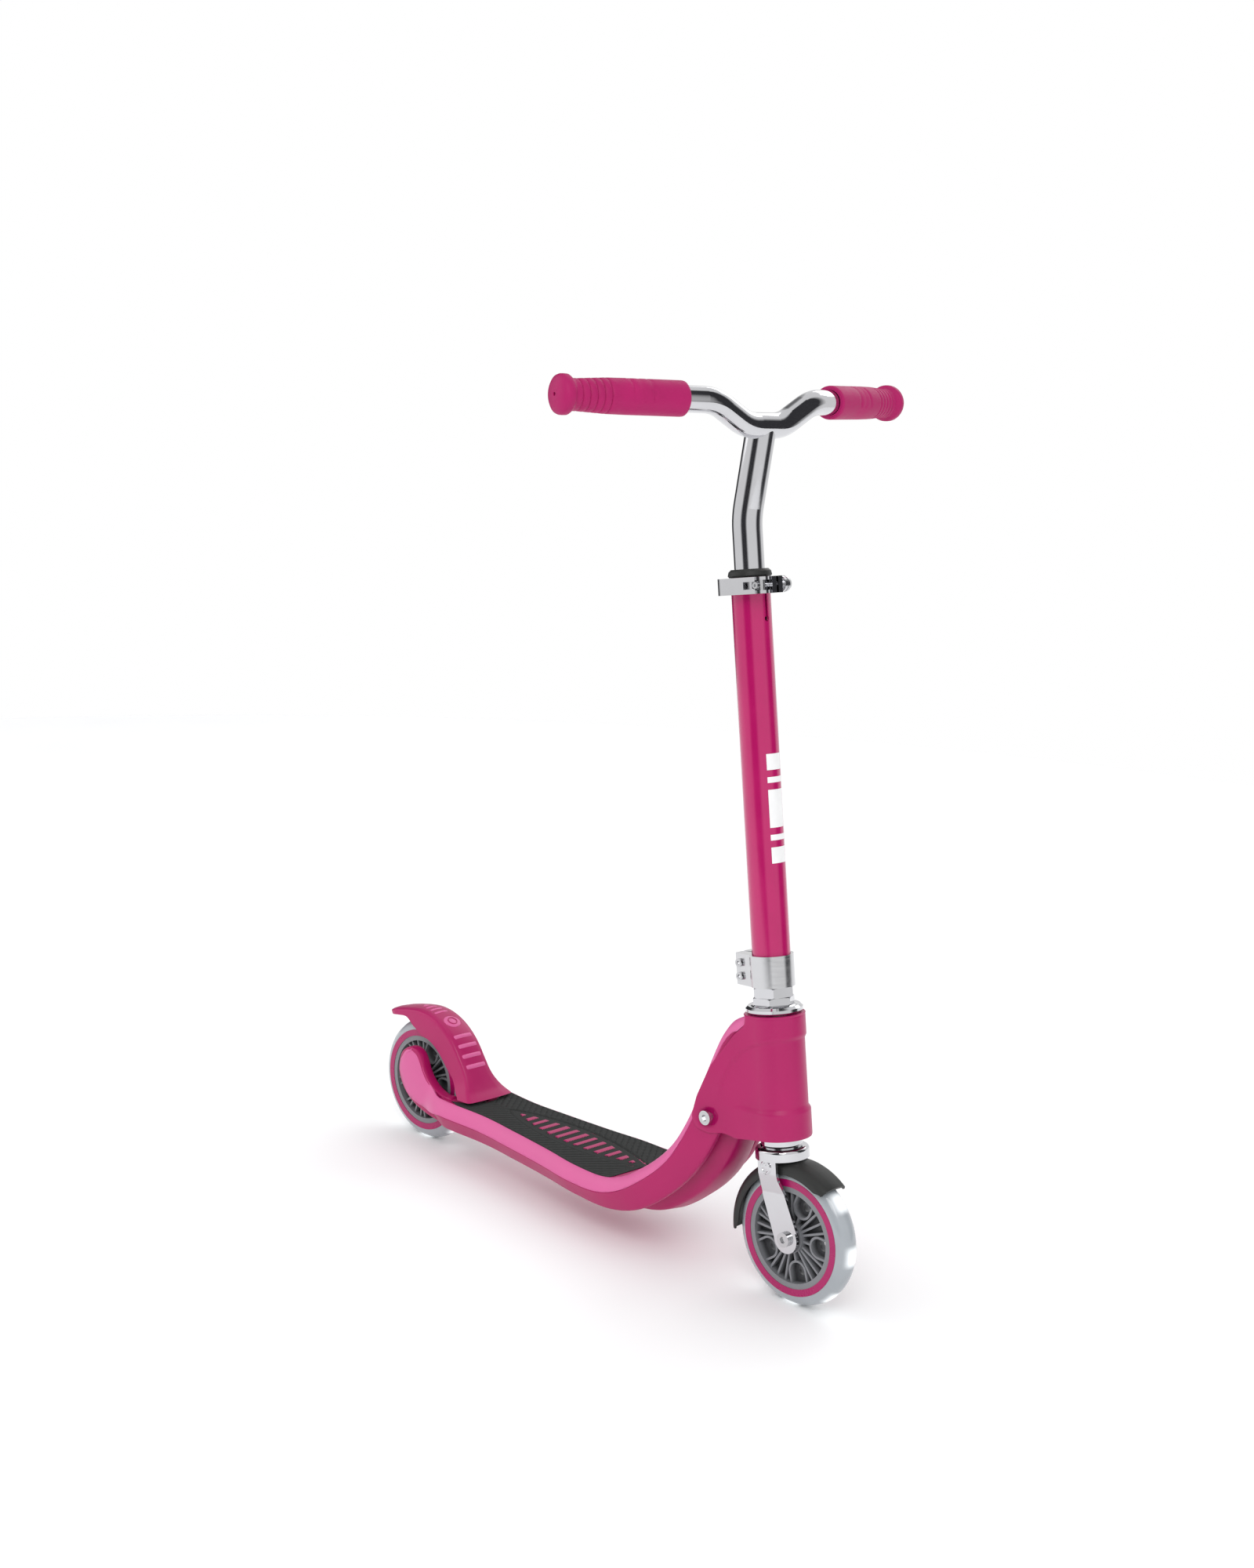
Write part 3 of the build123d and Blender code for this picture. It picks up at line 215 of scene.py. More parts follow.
def apply_modifiers(obj, angle=35.0):
    """Replace the mesh by its evaluated one, with no modifier left on the object."""
    graph = bpy.context.evaluated_depsgraph_get()
    graph.update()
    mesh = bpy.data.meshes.new_from_object(obj.evaluated_get(graph))
    old = obj.data
    obj.modifiers.clear()
    obj.data = mesh
    bpy.data.meshes.remove(old)
    shade(mesh, angle)


def cut(obj, cutters, angle=35.0):
    """Take helper solids out of an object and delete them."""
    for cutter in cutters:
        mod = obj.modifiers.new("cut", "BOOLEAN")
        mod.operation = "DIFFERENCE"
        mod.solver = "EXACT"
        mod.object = cutter
    apply_modifiers(obj, angle)
    tidy_mesh(obj.data)
    shade(obj.data, angle)
    for cutter in cutters:
        bpy.data.objects.remove(cutter)


def helper_solid(verts, faces, name="helper"):
    """Plain mesh object from millimetre points."""
    mesh = bpy.data.meshes.new(name)
    points = [tuple(float(c) * MM for c in v) for v in verts]
    mesh.from_pydata(points, [], [tuple(int(i) for i in f) for f in faces])
    obj = bpy.data.objects.new(name, mesh)
    bpy.context.scene.collection.objects.link(obj)
    tidy_mesh(mesh)
    return obj


def prism(low_loop, high_loop):
    """Vertices and faces between two outlines with the same number of points."""
    n = len(low_loop)
    faces = [tuple(range(n)), tuple(range(2 * n - 1, n - 1, -1))]
    faces += [(i, (i + 1) % n, n + (i + 1) % n, n + i) for i in range(n)]
    return list(low_loop) + list(high_loop), faces


def rings_to_mesh(rings, closed_ring=True, closed_path=False, caps=True):
    """Quads between rings of the same number of points."""
    count = len(rings[0])
    verts = [tuple(p) for ring in rings for p in ring]
    faces = []
    spans = len(rings) if closed_path else len(rings) - 1
    steps = count if closed_ring else count - 1
    for i in range(spans):
        a = i * count
        b = ((i + 1) % len(rings)) * count
        for k in range(steps):
            m = (k + 1) % count
            faces.append((a + k, a + m, b + m, b + k))
    if caps and not closed_path:
        faces.append(tuple(range(count)))
        last = (len(rings) - 1) * count
        faces.append(tuple(range(last + count - 1, last - 1, -1)))
    return verts, faces


def mirrored(outer, inner):
    """Closed ring of a skin from its outer line (edge to middle) and inner line (middle to edge)."""
    ring = [tuple(p) for p in outer]
    ring += [(-y, r) for y, r in ring[-2::-1]]
    back = [tuple(p) for p in inner]
    ring += [(-y, r) for y, r in back[:0:-1]]
    return ring + back


def turned(profile, centre, axis, steps):
    """Vertices and faces of a closed (radius, distance along the axis) profile turned right round."""
    axis = Vector(axis).normalized()
    side = axis.orthogonal().normalized()
    up = axis.cross(side)
    rings = []
    for k in range(steps):
        a = math.radians(360.0 * k / steps)
        ray = side * math.cos(a) + up * math.sin(a)
        rings.append([tuple(Vector(centre) + ray * r + axis * s) for r, s in profile])
    return rings_to_mesh(rings, closed_path=True)


def merged(parts):
    """One list of vertices and one of faces from several pairs."""
    verts = []
    faces = []
    for part_verts, part_faces in parts:
        faces += [tuple(i + len(verts) for i in face) for face in part_faces]
        verts += part_verts
    return verts, faces


def fill_outline(outline, spacing):
    """Triangles that fill a 2-D outline with evenly spaced inner points."""
    outline = np.asarray(outline, float)
    low = outline.min(0)
    high = outline.max(0)
    gx = np.arange(low[0] + spacing * 0.5, high[0], spacing)
    gy = np.arange(low[1] + spacing * 0.5, high[1], spacing * 0.87)
    inner = []
    for j, y in enumerate(gy):
        for x in gx + (spacing * 0.5 if j % 2 else 0.0):
            inner.append((x, y))
    inner = np.array(inner)
    inner = inner[inside(inner, outline)]
    inner = inner[edge_distance(inner, outline) > spacing * 0.45]
    verts = [Vector(p) for p in outline] + [Vector(p) for p in inner]
    n = len(outline)
    edges = [(i, (i + 1) % n) for i in range(n)]
    result = delaunay_2d_cdt(verts, edges, [], 0, 1e-6)
    points = np.array([tuple(v) for v in result[0]])
    triangles = [tuple(tri) for tri in result[2]]
    good = inside(points[np.array(triangles)].mean(1), outline)
    return points, [tri for tri, ok in zip(triangles, good) if ok]


def edge_distance(points, loop):
    """Distance from each point to the nearest point of a loop."""
    tree = KDTree(len(loop))
    for i, p in enumerate(loop):
        tree.insert((float(p[0]), float(p[1]), 0.0), i)
    tree.balance()
    return np.array([tree.find((float(p[0]), float(p[1]), 0.0))[2] for p in points])


def inside(points, loop):
    """Which points lie inside a loop."""
    x = points[:, 0]
    y = points[:, 1]
    result = np.zeros(len(points), bool)
    n = len(loop)
    for i in range(n):
        x1, y1 = loop[i]
        x2, y2 = loop[(i + 1) % n]
        if y1 == y2:
            continue
        crosses = ((y1 > y) != (y2 > y)) & (x < (x2 - x1) * (y - y1) / (y2 - y1) + x1)
        result ^= crosses
    return result


def resample(loop, step):
    """Points at about equal steps round a closed loop."""
    loop = np.asarray(loop, float)
    closed = np.vstack([loop, loop[:1]])
    seg = np.linalg.norm(np.diff(closed, axis=0), axis=1)
    at = np.concatenate([[0], np.cumsum(seg)])
    count = max(int(at[-1] / step), 8)
    want = np.linspace(0, at[-1], count, endpoint=False)
    return np.column_stack([np.interp(want, at, closed[:, 0]), np.interp(want, at, closed[:, 1])])


def solidify(obj, thickness, bevel, angle):
    """Give a skin its thickness inwards, with softened rims where bevel is set."""
    mod = obj.modifiers.new("thick", "SOLIDIFY")
    mod.thickness = thickness * MM
    mod.offset = -1.0
    mod.use_even_offset = False
    if bevel:
        soft = obj.modifiers.new("soft", "BEVEL")
        soft.width = bevel * MM
        soft.segments = 2
        soft.limit_method = "ANGLE"
        soft.angle_limit = math.radians(50)
    apply_modifiers(obj, angle)


# ---------------------------------------------------------------- materials
def srgb(r, g, b):
    def lin(c):
        c = c / 255
        return c / 12.92 if c <= 0.04045 else ((c + 0.055) / 1.055) ** 2.4
    return (lin(r), lin(g), lin(b), 1.0)


def tint(colour, k):
    return tuple(min(1.0, c * k) for c in colour[:3]) + (1.0,)


DUST = (0.55, 0.5, 0.5, 1.0)


def tree_tools(tree):
    """Clear a node tree, and give the functions that add nodes and link sockets."""
    tree.nodes.clear()

    def node(kind, **values):
        made = tree.nodes.new(kind)
        for key, value in values.items():
            if key in made.inputs:
                made.inputs[key].default_value = value
            else:
                setattr(made, key, value)
        return made

    def link(a, b):
        tree.links.new(a, b)

    def remap(value, low, high, to_low=0.0, to_high=1.0, **values):
        made = node("ShaderNodeMapRange", **values)
        for key, number in (("From Min", low), ("From Max", high), ("To Min", to_low), ("To Max", to_high)):
            made.inputs[key].default_value = number
        link(value, made.inputs["Value"])
        return made.outputs[0]

    def maths(operation, *sockets):
        made = node("ShaderNodeMath", operation=operation)
        for slot, value in zip(made.inputs, sockets):
            if isinstance(value, float):
                slot.default_value = value
            else:
                link(value, slot)
        return made.outputs[0]

    return node, link, remap, maths


def make_material(name, colour, rough=0.4, metallic=0.0, vary=0.06, spots=35.0, grain=900.0, bump=0.05,
                  rough_vary=0.08, scratch=0.0, dust=0.0, coat=0.0, stretch=None, emission=None, specular=0.5,
                  shade_within=0.0):
    """Moulded, painted or metal surface: mottled colour, uneven gloss, fine grain, scratches and scuffs;
    where shade_within is set, painted shade darkening towards the middle plane.
    """
    mat = bpy.data.materials.new(name)
    mat.use_nodes = True
    node, link, remap, maths = tree_tools(mat.node_tree)
    out = node("ShaderNodeOutputMaterial")
    bsdf = node("ShaderNodeBsdfPrincipled")
    bsdf.inputs["Metallic"].default_value = metallic
    bsdf.inputs["Coat Weight"].default_value = coat
    bsdf.inputs["Coat Roughness"].default_value = 0.12
    bsdf.inputs["Specular IOR Level"].default_value = specular
    link(bsdf.outputs[0], out.inputs[0])
    coord = node("ShaderNodeTexCoord")
    place = node("ShaderNodeMapping")
    if stretch:
        place.inputs["Scale"].default_value = stretch
    link(coord.outputs["Object"], place.inputs[0])
    cloud = node("ShaderNodeTexNoise", Scale=spots, Detail=4.0, Roughness=0.55)
    link(place.outputs[0], cloud.inputs["Vector"])
    mix = node("ShaderNodeMix", data_type="RGBA")
    mix.inputs[6].default_value = tint(colour, 1 - vary)
    mix.inputs[7].default_value = tint(colour, 1 + vary)
    link(remap(cloud.outputs["Fac"], 0.3, 0.7), mix.inputs[0])
    colour_out = mix.outputs[2]
    fine = node("ShaderNodeTexNoise", Scale=grain, Detail=3.0, Roughness=0.6)
    link(place.outputs[0], fine.inputs["Vector"])
    rough_out = remap(cloud.outputs["Fac"], 0.3, 0.7, max(rough - rough_vary, 0.02),
                      min(rough + rough_vary, 1.0))
    if scratch or dust:
        lines = node("ShaderNodeTexNoise", Scale=48.0, Detail=6.0, Roughness=0.7, Distortion=1.2)
        squash = node("ShaderNodeMapping")
        squash.inputs["Scale"].default_value = (1.0, 7.0, 2.5)
        squash.inputs["Rotation"].default_value = (0.3, 0.5, 0.2)
        link(coord.outputs["Object"], squash.inputs[0])
        link(squash.outputs[0], lines.inputs["Vector"])
        worn = remap(lines.outputs["Fac"], 0.62, 0.72)
        amount = maths("MULTIPLY", worn, max(scratch, dust))
        over = node("ShaderNodeMix", data_type="RGBA")
        over.inputs[7].default_value = DUST if dust else tint(colour, 1.5)
        link(amount, over.inputs[0])
        link(colour_out, over.inputs[6])
        colour_out = over.outputs[2]
        add = node("ShaderNodeMath", operation="ADD")
        link(rough_out, add.inputs[0])
        link(amount, add.inputs[1])
        add.use_clamp = True
        rough_out = add.outputs[0]
    # Painted shade: the colour darkens towards the middle plane (small |Y|), standing in for the shade deep
    # in the hub between its ribs.
    if shade_within:
        place_y = node("ShaderNodeSeparateXYZ")
        link(coord.outputs["Object"], place_y.inputs[0])
        off_mid = maths("ABSOLUTE", place_y.outputs["Y"])
        painted_shade_amount = remap(off_mid, shade_within * 2.6 * MM, shade_within * MM, 0.0, 0.72)
        under = node("ShaderNodeMix", data_type="RGBA")
        under.inputs[7].default_value = tint(colour, 0.12)
        link(painted_shade_amount, under.inputs[0])
        link(colour_out, under.inputs[6])
        colour_out = under.outputs[2]
    link(colour_out, bsdf.inputs["Base Color"])
    link(rough_out, bsdf.inputs["Roughness"])
    if bump:
        relief = node("ShaderNodeBump", Strength=bump, Distance=0.0004)
        link(fine.outputs["Fac"], relief.inputs["Height"])
        link(relief.outputs[0], bsdf.inputs["Normal"])
    # Painted glow where an emission pattern is given, as on the tyres.
    if emission:
        emission(node, link, remap, maths, coord, bsdf)
    return mat


MAGENTA = srgb(168, 8, 90)
LIGHT = srgb(210, 94, 150)
materials = {}


def painted_glow_spots(centre_x):
    """Painted glow: bright emitting patches on the clear tyre, eight round the wheel, standing in for light
    seen through it.
    """
    def build(node, link, remap, maths, coord, bsdf):
        shift = node("ShaderNodeVectorMath", operation="SUBTRACT")
        shift.inputs[1].default_value = (centre_x * MM, 0.0, AXLE_Z * MM)
        link(coord.outputs["Object"], shift.inputs[0])
        parts = node("ShaderNodeSeparateXYZ")
        link(shift.outputs[0], parts.inputs[0])
        angle = maths("ARCTAN2", parts.outputs["Z"], parts.outputs["X"])
        wave = maths("COSINE", maths("MULTIPLY", angle, 8.0))
        around = remap(wave, 0.05, 1.0, interpolation_type="SMOOTHSTEP")
        side = maths("ABSOLUTE", parts.outputs["Y"])
        across = remap(side, 0.0095, 0.002, interpolation_type="SMOOTHSTEP")
        # Painted glow: near-white emission on the tyre, strongest near the tyre's middle plane.
        bsdf.inputs["Emission Color"].default_value = (0.96, 0.99, 1.0, 1.0)
        power = maths("MULTIPLY", maths("MULTIPLY", around, across), 0.9)
        link(power, bsdf.inputs["Emission Strength"])
    return build


FINISHES = {
    "magenta_plastic": dict(colour=MAGENTA, rough=0.36, vary=0.05, spots=14, grain=1500, bump=0.05,
        scratch=0.05, specular=0.42),
    "light_pink_plastic": dict(colour=LIGHT, rough=0.42, vary=0.035, spots=14, grain=1500, bump=0.05,
        scratch=0.06, specular=0.38),
    "magenta_paint": dict(colour=srgb(182, 8, 96), rough=0.2, metallic=0.15, vary=0.05, spots=20,
        grain=700, bump=0.02, rough_vary=0.05, coat=0.5, scratch=0.03),
    "ring_plastic": dict(colour=srgb(162, 10, 90), rough=0.28, vary=0.05, spots=40, grain=900, bump=0.03,
        scratch=0.06),
    "mat_rubber": dict(colour=srgb(42, 44, 43), rough=0.72, vary=0.18, spots=60, grain=1600, bump=0.35,
        dust=0.07, specular=0.3),
    "grip_rubber": dict(colour=srgb(168, 12, 92), rough=0.55, vary=0.06, spots=40, grain=1800, bump=0.18,
        scratch=0.04, specular=0.3),
    "chrome": dict(colour=srgb(208, 208, 211), rough=0.07, metallic=1.0, vary=0.03, spots=25, grain=300,
        bump=0.004, rough_vary=0.035, scratch=0.04),
    "steel": dict(colour=srgb(196, 196, 198), rough=0.17, metallic=1.0, vary=0.04, spots=70, grain=900,
        bump=0.02, rough_vary=0.05, scratch=0.04),
    "brushed": dict(colour=srgb(206, 206, 208), rough=0.19, metallic=1.0, vary=0.03, spots=40, grain=420,
        bump=0.03, rough_vary=0.04, stretch=(1.0, 1.0, 14.0), scratch=0.02),
    "black_steel": dict(colour=srgb(30, 30, 32), rough=0.42, metallic=0.3, vary=0.2, spots=40, grain=600,
        bump=0.05, scratch=0.1),
    "black_plastic": dict(colour=srgb(38, 39, 38), rough=0.5, vary=0.15, spots=30, grain=1200, bump=0.12,
        scratch=0.08, specular=0.4),
    # The hub's shade_within paints shade: darker within a few millimetres of the wheel's middle plane.
    "hub_plastic": dict(colour=srgb(122, 123, 127), rough=0.38, vary=0.06, spots=60, grain=1100,
        bump=0.05, scratch=0.05, shade_within=3.0),
    "led_strip": dict(colour=srgb(235, 236, 232), rough=0.3, vary=0.05, spots=90, grain=900, bump=0.03),
    "white_print": dict(colour=srgb(236, 236, 236), rough=0.35, vary=0.04, spots=60, grain=900,
        bump=0.02),
}
TYRE = dict(colour=srgb(158, 163, 168), rough=0.14, vary=0.05, spots=30, grain=700, bump=0.02,
            rough_vary=0.05, coat=0.3, scratch=0.06)


def make_materials():
    """Every finish, with a painted glow on the tyres round each wheel's centre."""
    for name, values in FINISHES.items():
        materials[name] = make_material(name, **values)
    for end, x in (("front", FRONT_X), ("rear", REAR_X)):
        name = "clear_tyre_" + end
        materials[name] = make_material(name, emission=painted_glow_spots(x), **TYRE)


NODE_MATERIAL = {"stem_clamp": "brushed", "lock_nut": "chrome", "adjusting_nut": "chrome"}


def dress_cad_nodes():
    """Give every CAD node the detailed material of its slot."""
    for row in frame["record"]["subparts"]:
        node = row["node"]
        slot = row["material_slot"]
        name = NODE_MATERIAL.get(node, slot)
        if slot == "clear_tyre":
            name += "_front" if node.startswith("front") else "_rear"
        mesh = nodes[node].data
        mesh.materials.clear()
        mesh.materials.append(materials[name])


# ---------------------------------------------------------------- deck, neck and trims
STATIONS = np.array([
    # x, z, rise, half width, thickness, keel, groove
    (-220.5, 64.0, 0.0, 23.0, 30.0, 0, 0), (-204.5, 64.0, 0.0, 30.0, 30.0, 0, 0),
    (-185.5, 64.0, 0.0, 36.0, 30.0, 0, 0), (-131.5, 64.0, 0.0, 33.5, 30.0, 0, 0),
    (-79.0, 64.0, 0.0, 37.5, 30.0, 0, 0), (-26.5, 64.0, 0.0, 43.0, 30.0, 0, 0),
    (18.5, 64.0, 0.0, 49.0, 30.0, 0, 0), (53.5, 65.0, 6.0, 50.0, 31.0, 2.0, 2.0),
    (93.5, 80.5, 35.0, 48.0, 34.0, 10.0, 10.0), (130.5, 113.0, 51.0, 43.0, 33.0, 12.0, 13.0),
    (148.5, 148.0, 70.0, 36.0, 33.0, 11.0, 12.0), (159.0, 189.0, 75.0, 29.0, 32.0, 4.0, 5.0),
    (169.5, 224.0, 70.0, 24.0, 26.0, 0, 0), (179.5, 242.0, 50.0, 21.5, 20.0, 0, 0),
    (194.5, 252.0, 28.0, 20.0, 16.0, 0, 0)])


def station_rows(count=150):
    """Stations resampled smoothly along the deck and neck."""
    xz = STATIONS[:, :2]
    dist = np.concatenate([[0], np.cumsum(np.linalg.norm(np.diff(xz, axis=0), axis=1))])
    at = np.linspace(0, dist[-1], count)
    rise = np.radians(STATIONS[:, 2])
    rows = []
    for s in at:
        i = min(max(int(np.searchsorted(dist, s, side="right")) - 1, 0), len(dist) - 2)
        h = dist[i + 1] - dist[i]
        t = (s - dist[i]) / h
        t0 = np.array([math.cos(rise[i]), math.sin(rise[i])]) * h
        t1 = np.array([math.cos(rise[i + 1]), math.sin(rise[i + 1])]) * h
        p = ((1 + 2 * t) * (1 - t) ** 2 * xz[i] + t * (1 - t) ** 2 * t0
             + t * t * (3 - 2 * t) * xz[i + 1] + t * t * (t - 1) * t1)
        rows.append(p)
    rows = np.array(rows)
    slope = np.gradient(rows, axis=0)
    ang = np.arctan2(slope[:, 1], slope[:, 0])
    cols = [pchip(dist, STATIONS[:, k], at) for k in range(3, 7)]
    return np.column_stack([rows, ang] + cols)


ROWS = station_rows()


def section_point(row, y, depth):
    """World point of a place on a section: y across, depth down from the top line."""
    x, z, a = row[0], row[1], row[2]
    return (x + depth * math.sin(a), y, z - depth * math.cos(a))


def shoulder(row):
    share = min(math.degrees(row[2]) / 70.0, 1.0)
    share = max(share, 0.0)
    return 8.5 - 1.5 * share, 13.5 - 6.5 * share


def half_width_at(x):
    deck = ROWS[ROWS[:, 2] < 0.35]
    return np.interp(x, deck[:, 0], deck[:, 3])


def casing_outline():
    """Side outline of the head casing, as (u, w)."""
    points = [(-27.0, CASING_LOW), (-38.0, LOBE_W - 13.5), (-52.0, LOBE_W - 14.5), (-63.5, LOBE_W - 10.5),
              (-68.0, LOBE_W), (-62.5, LOBE_W + 18.0), (-47.0, CASING_TOP - 45.0),
              (-24.0, CASING_TOP - 18.0), (-12.0, CASING_TOP - 8.0), (-10.5, CASING_TOP)]
    radii = [6.0, 20.0, 12.0, 8.0, 10.0, 25.0, 30.0, 20.0, 5.0, 0.5]
    return points, radii


def casing_cutter(grow):
    points, radii = casing_outline()
    loop = round_corners([(45.0, CASING_LOW)] + points + [(45.0, CASING_TOP + 4)], [0.5] + radii + [0.5], 4)
    middle = np.array([-5.0, 140.0])
    ray = loop - middle
    loop = loop + ray / np.linalg.norm(ray, axis=1)[:, None] * grow
    world = [to_world(u, 0, w) for u, w in loop]
    sides = [[(p[0], y, p[2]) for p in world] for y in (-CUTTER_HALF, CUTTER_HALF)]
    return helper_solid(*prism(*sides))


def deck_shell():
    rings = []
    for row in ROWS:
        w, t, keel, groove = row[3], row[4], row[5], row[6]
        out, down = shoulder(row)
        bottom = w - 2.0
        share = min(groove / 9.0, 1.0)
        right = [(w - 2.4, 1.0), (w + out - 3.4, down + 0.3), (w + out - 0.1, down + 0.3),
                 (bottom, t), (bottom * 0.86 - 1.5 * share, t + 0.1 - 1.0 * share),
                 (bottom * 0.62, t + 0.1 - groove), (bottom * 0.42, t + 0.1 + keel * 0.75)]
        radii = [0.3, 0.3, 0.9, 4.5, 2.5, 5.0, 6.0]
        corners = [(0.0, 1.0)] + right + [(0.0, t + 0.1 + keel)]
        line = round_corners(corners, [0] + radii + [0], 4, closed=False)
        ring = [(y, d) for y, d in line] + [(-y, d) for y, d in line[-2:0:-1]]
        rings.append([section_point(row, y, d) for y, d in ring])
    verts, faces = rings_to_mesh(rings)
    obj = new_object("deck_shell", verts, faces, "magenta_plastic", "frame", ["deck_body"], 40)
    slot_end = PIN_X + 8.5
    slot = [(-400, -SLOT_HALF), (slot_end, -SLOT_HALF), (slot_end, SLOT_HALF), (-400, SLOT_HALF)]
    toe = []
    for k in range(25):
        a = math.radians(-90 + 180 * k / 24)
        toe.append((PIN_X + 4.0 + 15.5 * math.cos(a), SLOT_HALF * math.sin(a)))
    toe = [(-230, -SLOT_HALF)] + toe + [(-230, SLOT_HALF)]
    cutters = [casing_cutter(SEAM)]
    for plan, low, high in ((toe, 44, 90), (slot, 0, 200)):
        levels = [[(x, y, z) for x, y in plan] for z in (low, high)]
        cutters.insert(0, helper_solid(*prism(*levels)))
    cut(obj, cutters, 40)
    return obj


def trim_strip(side, name, node):
    """Light shoulder strip along the deck and neck, continued as the panel on the rear arm."""
    rings = []
    steps = 7
    rows = ROWS[ROWS[:, 0] > -186.0]
    for row in rows:
        w = row[3]
        out, down = shoulder(row)
        top = [(w - 0.1, 0.1), (w + out, down)]
        line = []
        for k in range(steps + 1):
            t = k / steps
            y = top[0][0] + (top[1][0] - top[0][0]) * t
            d = top[0][1] + (top[1][1] - top[0][1]) * t
            bulge = 1.3 * math.sin(math.pi * t)
            normal = (top[1][1] - top[0][1], -(top[1][0] - top[0][0]))
            size = math.hypot(*normal)
            line.append((y + normal[0] / size * bulge, d + normal[1] / size * bulge))
        rings.append([section_point(row, side * y, d) for y, d in line])
    first = rows[0]
    arm_top = catmull([(-187, 64.0), (-203, 64.2), (-214, 67.5), (-224, 73.5), (-231, 82), (-235.5, 90),
                       (-241, 96.5), (-250, 99.4)], 7)
    arm_low = catmull([(-187, 50.5), (-206, 47.2), (-222, 44.8), (-236, 45.0), (-250, 49.0), (-261, 59),
                       (-268, 74), (-266.5, 86)], 7)
    tip = catmull([(-250, 99.4), (-259, 96.5), (-266.5, 86)], 7)
    out, down = shoulder(first)
    half = first[3]
    count = len(arm_top)
    arm = []
    for i in range(count):
        t = i / (count - 1)
        y_top = (half - 0.1) + (29.0 - half) * smooth(t * 2.6)
        y_low = (half + out) + (30.0 - half - out) * smooth(t * 2.6)
        a = arm_top[i]
        b = arm_low[i]
        line = []
        for k in range(steps + 1):
            s = k / steps
            p = a * (1 - s) + b * s
            bow = 1.3 * math.sin(math.pi * s)
            line.append((p[0], side * (y_top * (1 - s) + y_low * s + bow), p[1]))
        arm.append(line)
    for i in range(1, steps + 1):
        t = i / steps
        line = []
        for k in range(steps + 1):
            s = k / steps
            edge = arm_top[-1] * (1 - s) + arm_low[-1] * s
            round_tip = tip[int(round(s * (len(tip) - 1)))]
            p = edge * (1 - t) + round_tip * t
            bow = 1.3 * math.sin(math.pi * s) * (1 - t) + 0.2
            line.append((p[0], side * (29.6 + bow), p[1]))
        arm.append(line)
    rings = arm[::-1] + rings
    verts, faces = rings_to_mesh(rings, closed_ring=False, caps=False)
    obj = new_object(name, verts, faces, "light_pink_plastic", "frame", [node], 50)
    bm = bmesh.new()
    bm.from_mesh(obj.data)
    bm.normal_update()
    out_dir = sum((f.normal.y * f.calc_area() for f in bm.faces)) * side
    if out_dir < 0:
        bmesh.ops.reverse_faces(bm, faces=bm.faces)
    bm.to_mesh(obj.data)
    bm.free()
    solidify(obj, 1.9, 0.5, 50)
    cut(obj, [casing_cutter(SEAM)], 50)
    return obj


def arm_solid(side, name):
    """Dark core of a rear arm, hooked over the axle."""
    loop = catmull([(-187, 36), (-215, 36.0), (-236, 40), (-252, 46.5), (-264, 57), (-271.0, 72),
                    (-268.5, 90), (-259, 99.5), (-249, 101.5), (-240, 98.5), (-234, 91), (-230, 83),
                    (-223, 74.5), (-213, 67.8), (-200, 64), (-187, 62.5)], 6, closed=True)
    rings = []
    for y, inset in ((18.3, 1.2), (18.9, 0.4), (20.0, 0.0), (26.6, 0.0), (28.3, 0.5), (29.2, 2.2)):
        nxt = np.roll(loop, -1, axis=0)
        prv = np.roll(loop, 1, axis=0)
        tan = nxt - prv
        tan = tan / np.maximum(np.linalg.norm(tan, axis=1), 1e-9)[:, None]
        area = np.sum(loop[:, 0] * nxt[:, 1] - nxt[:, 0] * loop[:, 1])
        sign = 1.0 if area > 0 else -1.0
        inner = loop + np.column_stack([-tan[:, 1], tan[:, 0]]) * inset * sign
        rings.append([(p[0], side * y, p[1]) for p in inner])
    verts, faces = rings_to_mesh(rings)
    return new_object(name, verts, faces, "magenta_plastic", "frame", ["deck_body"])


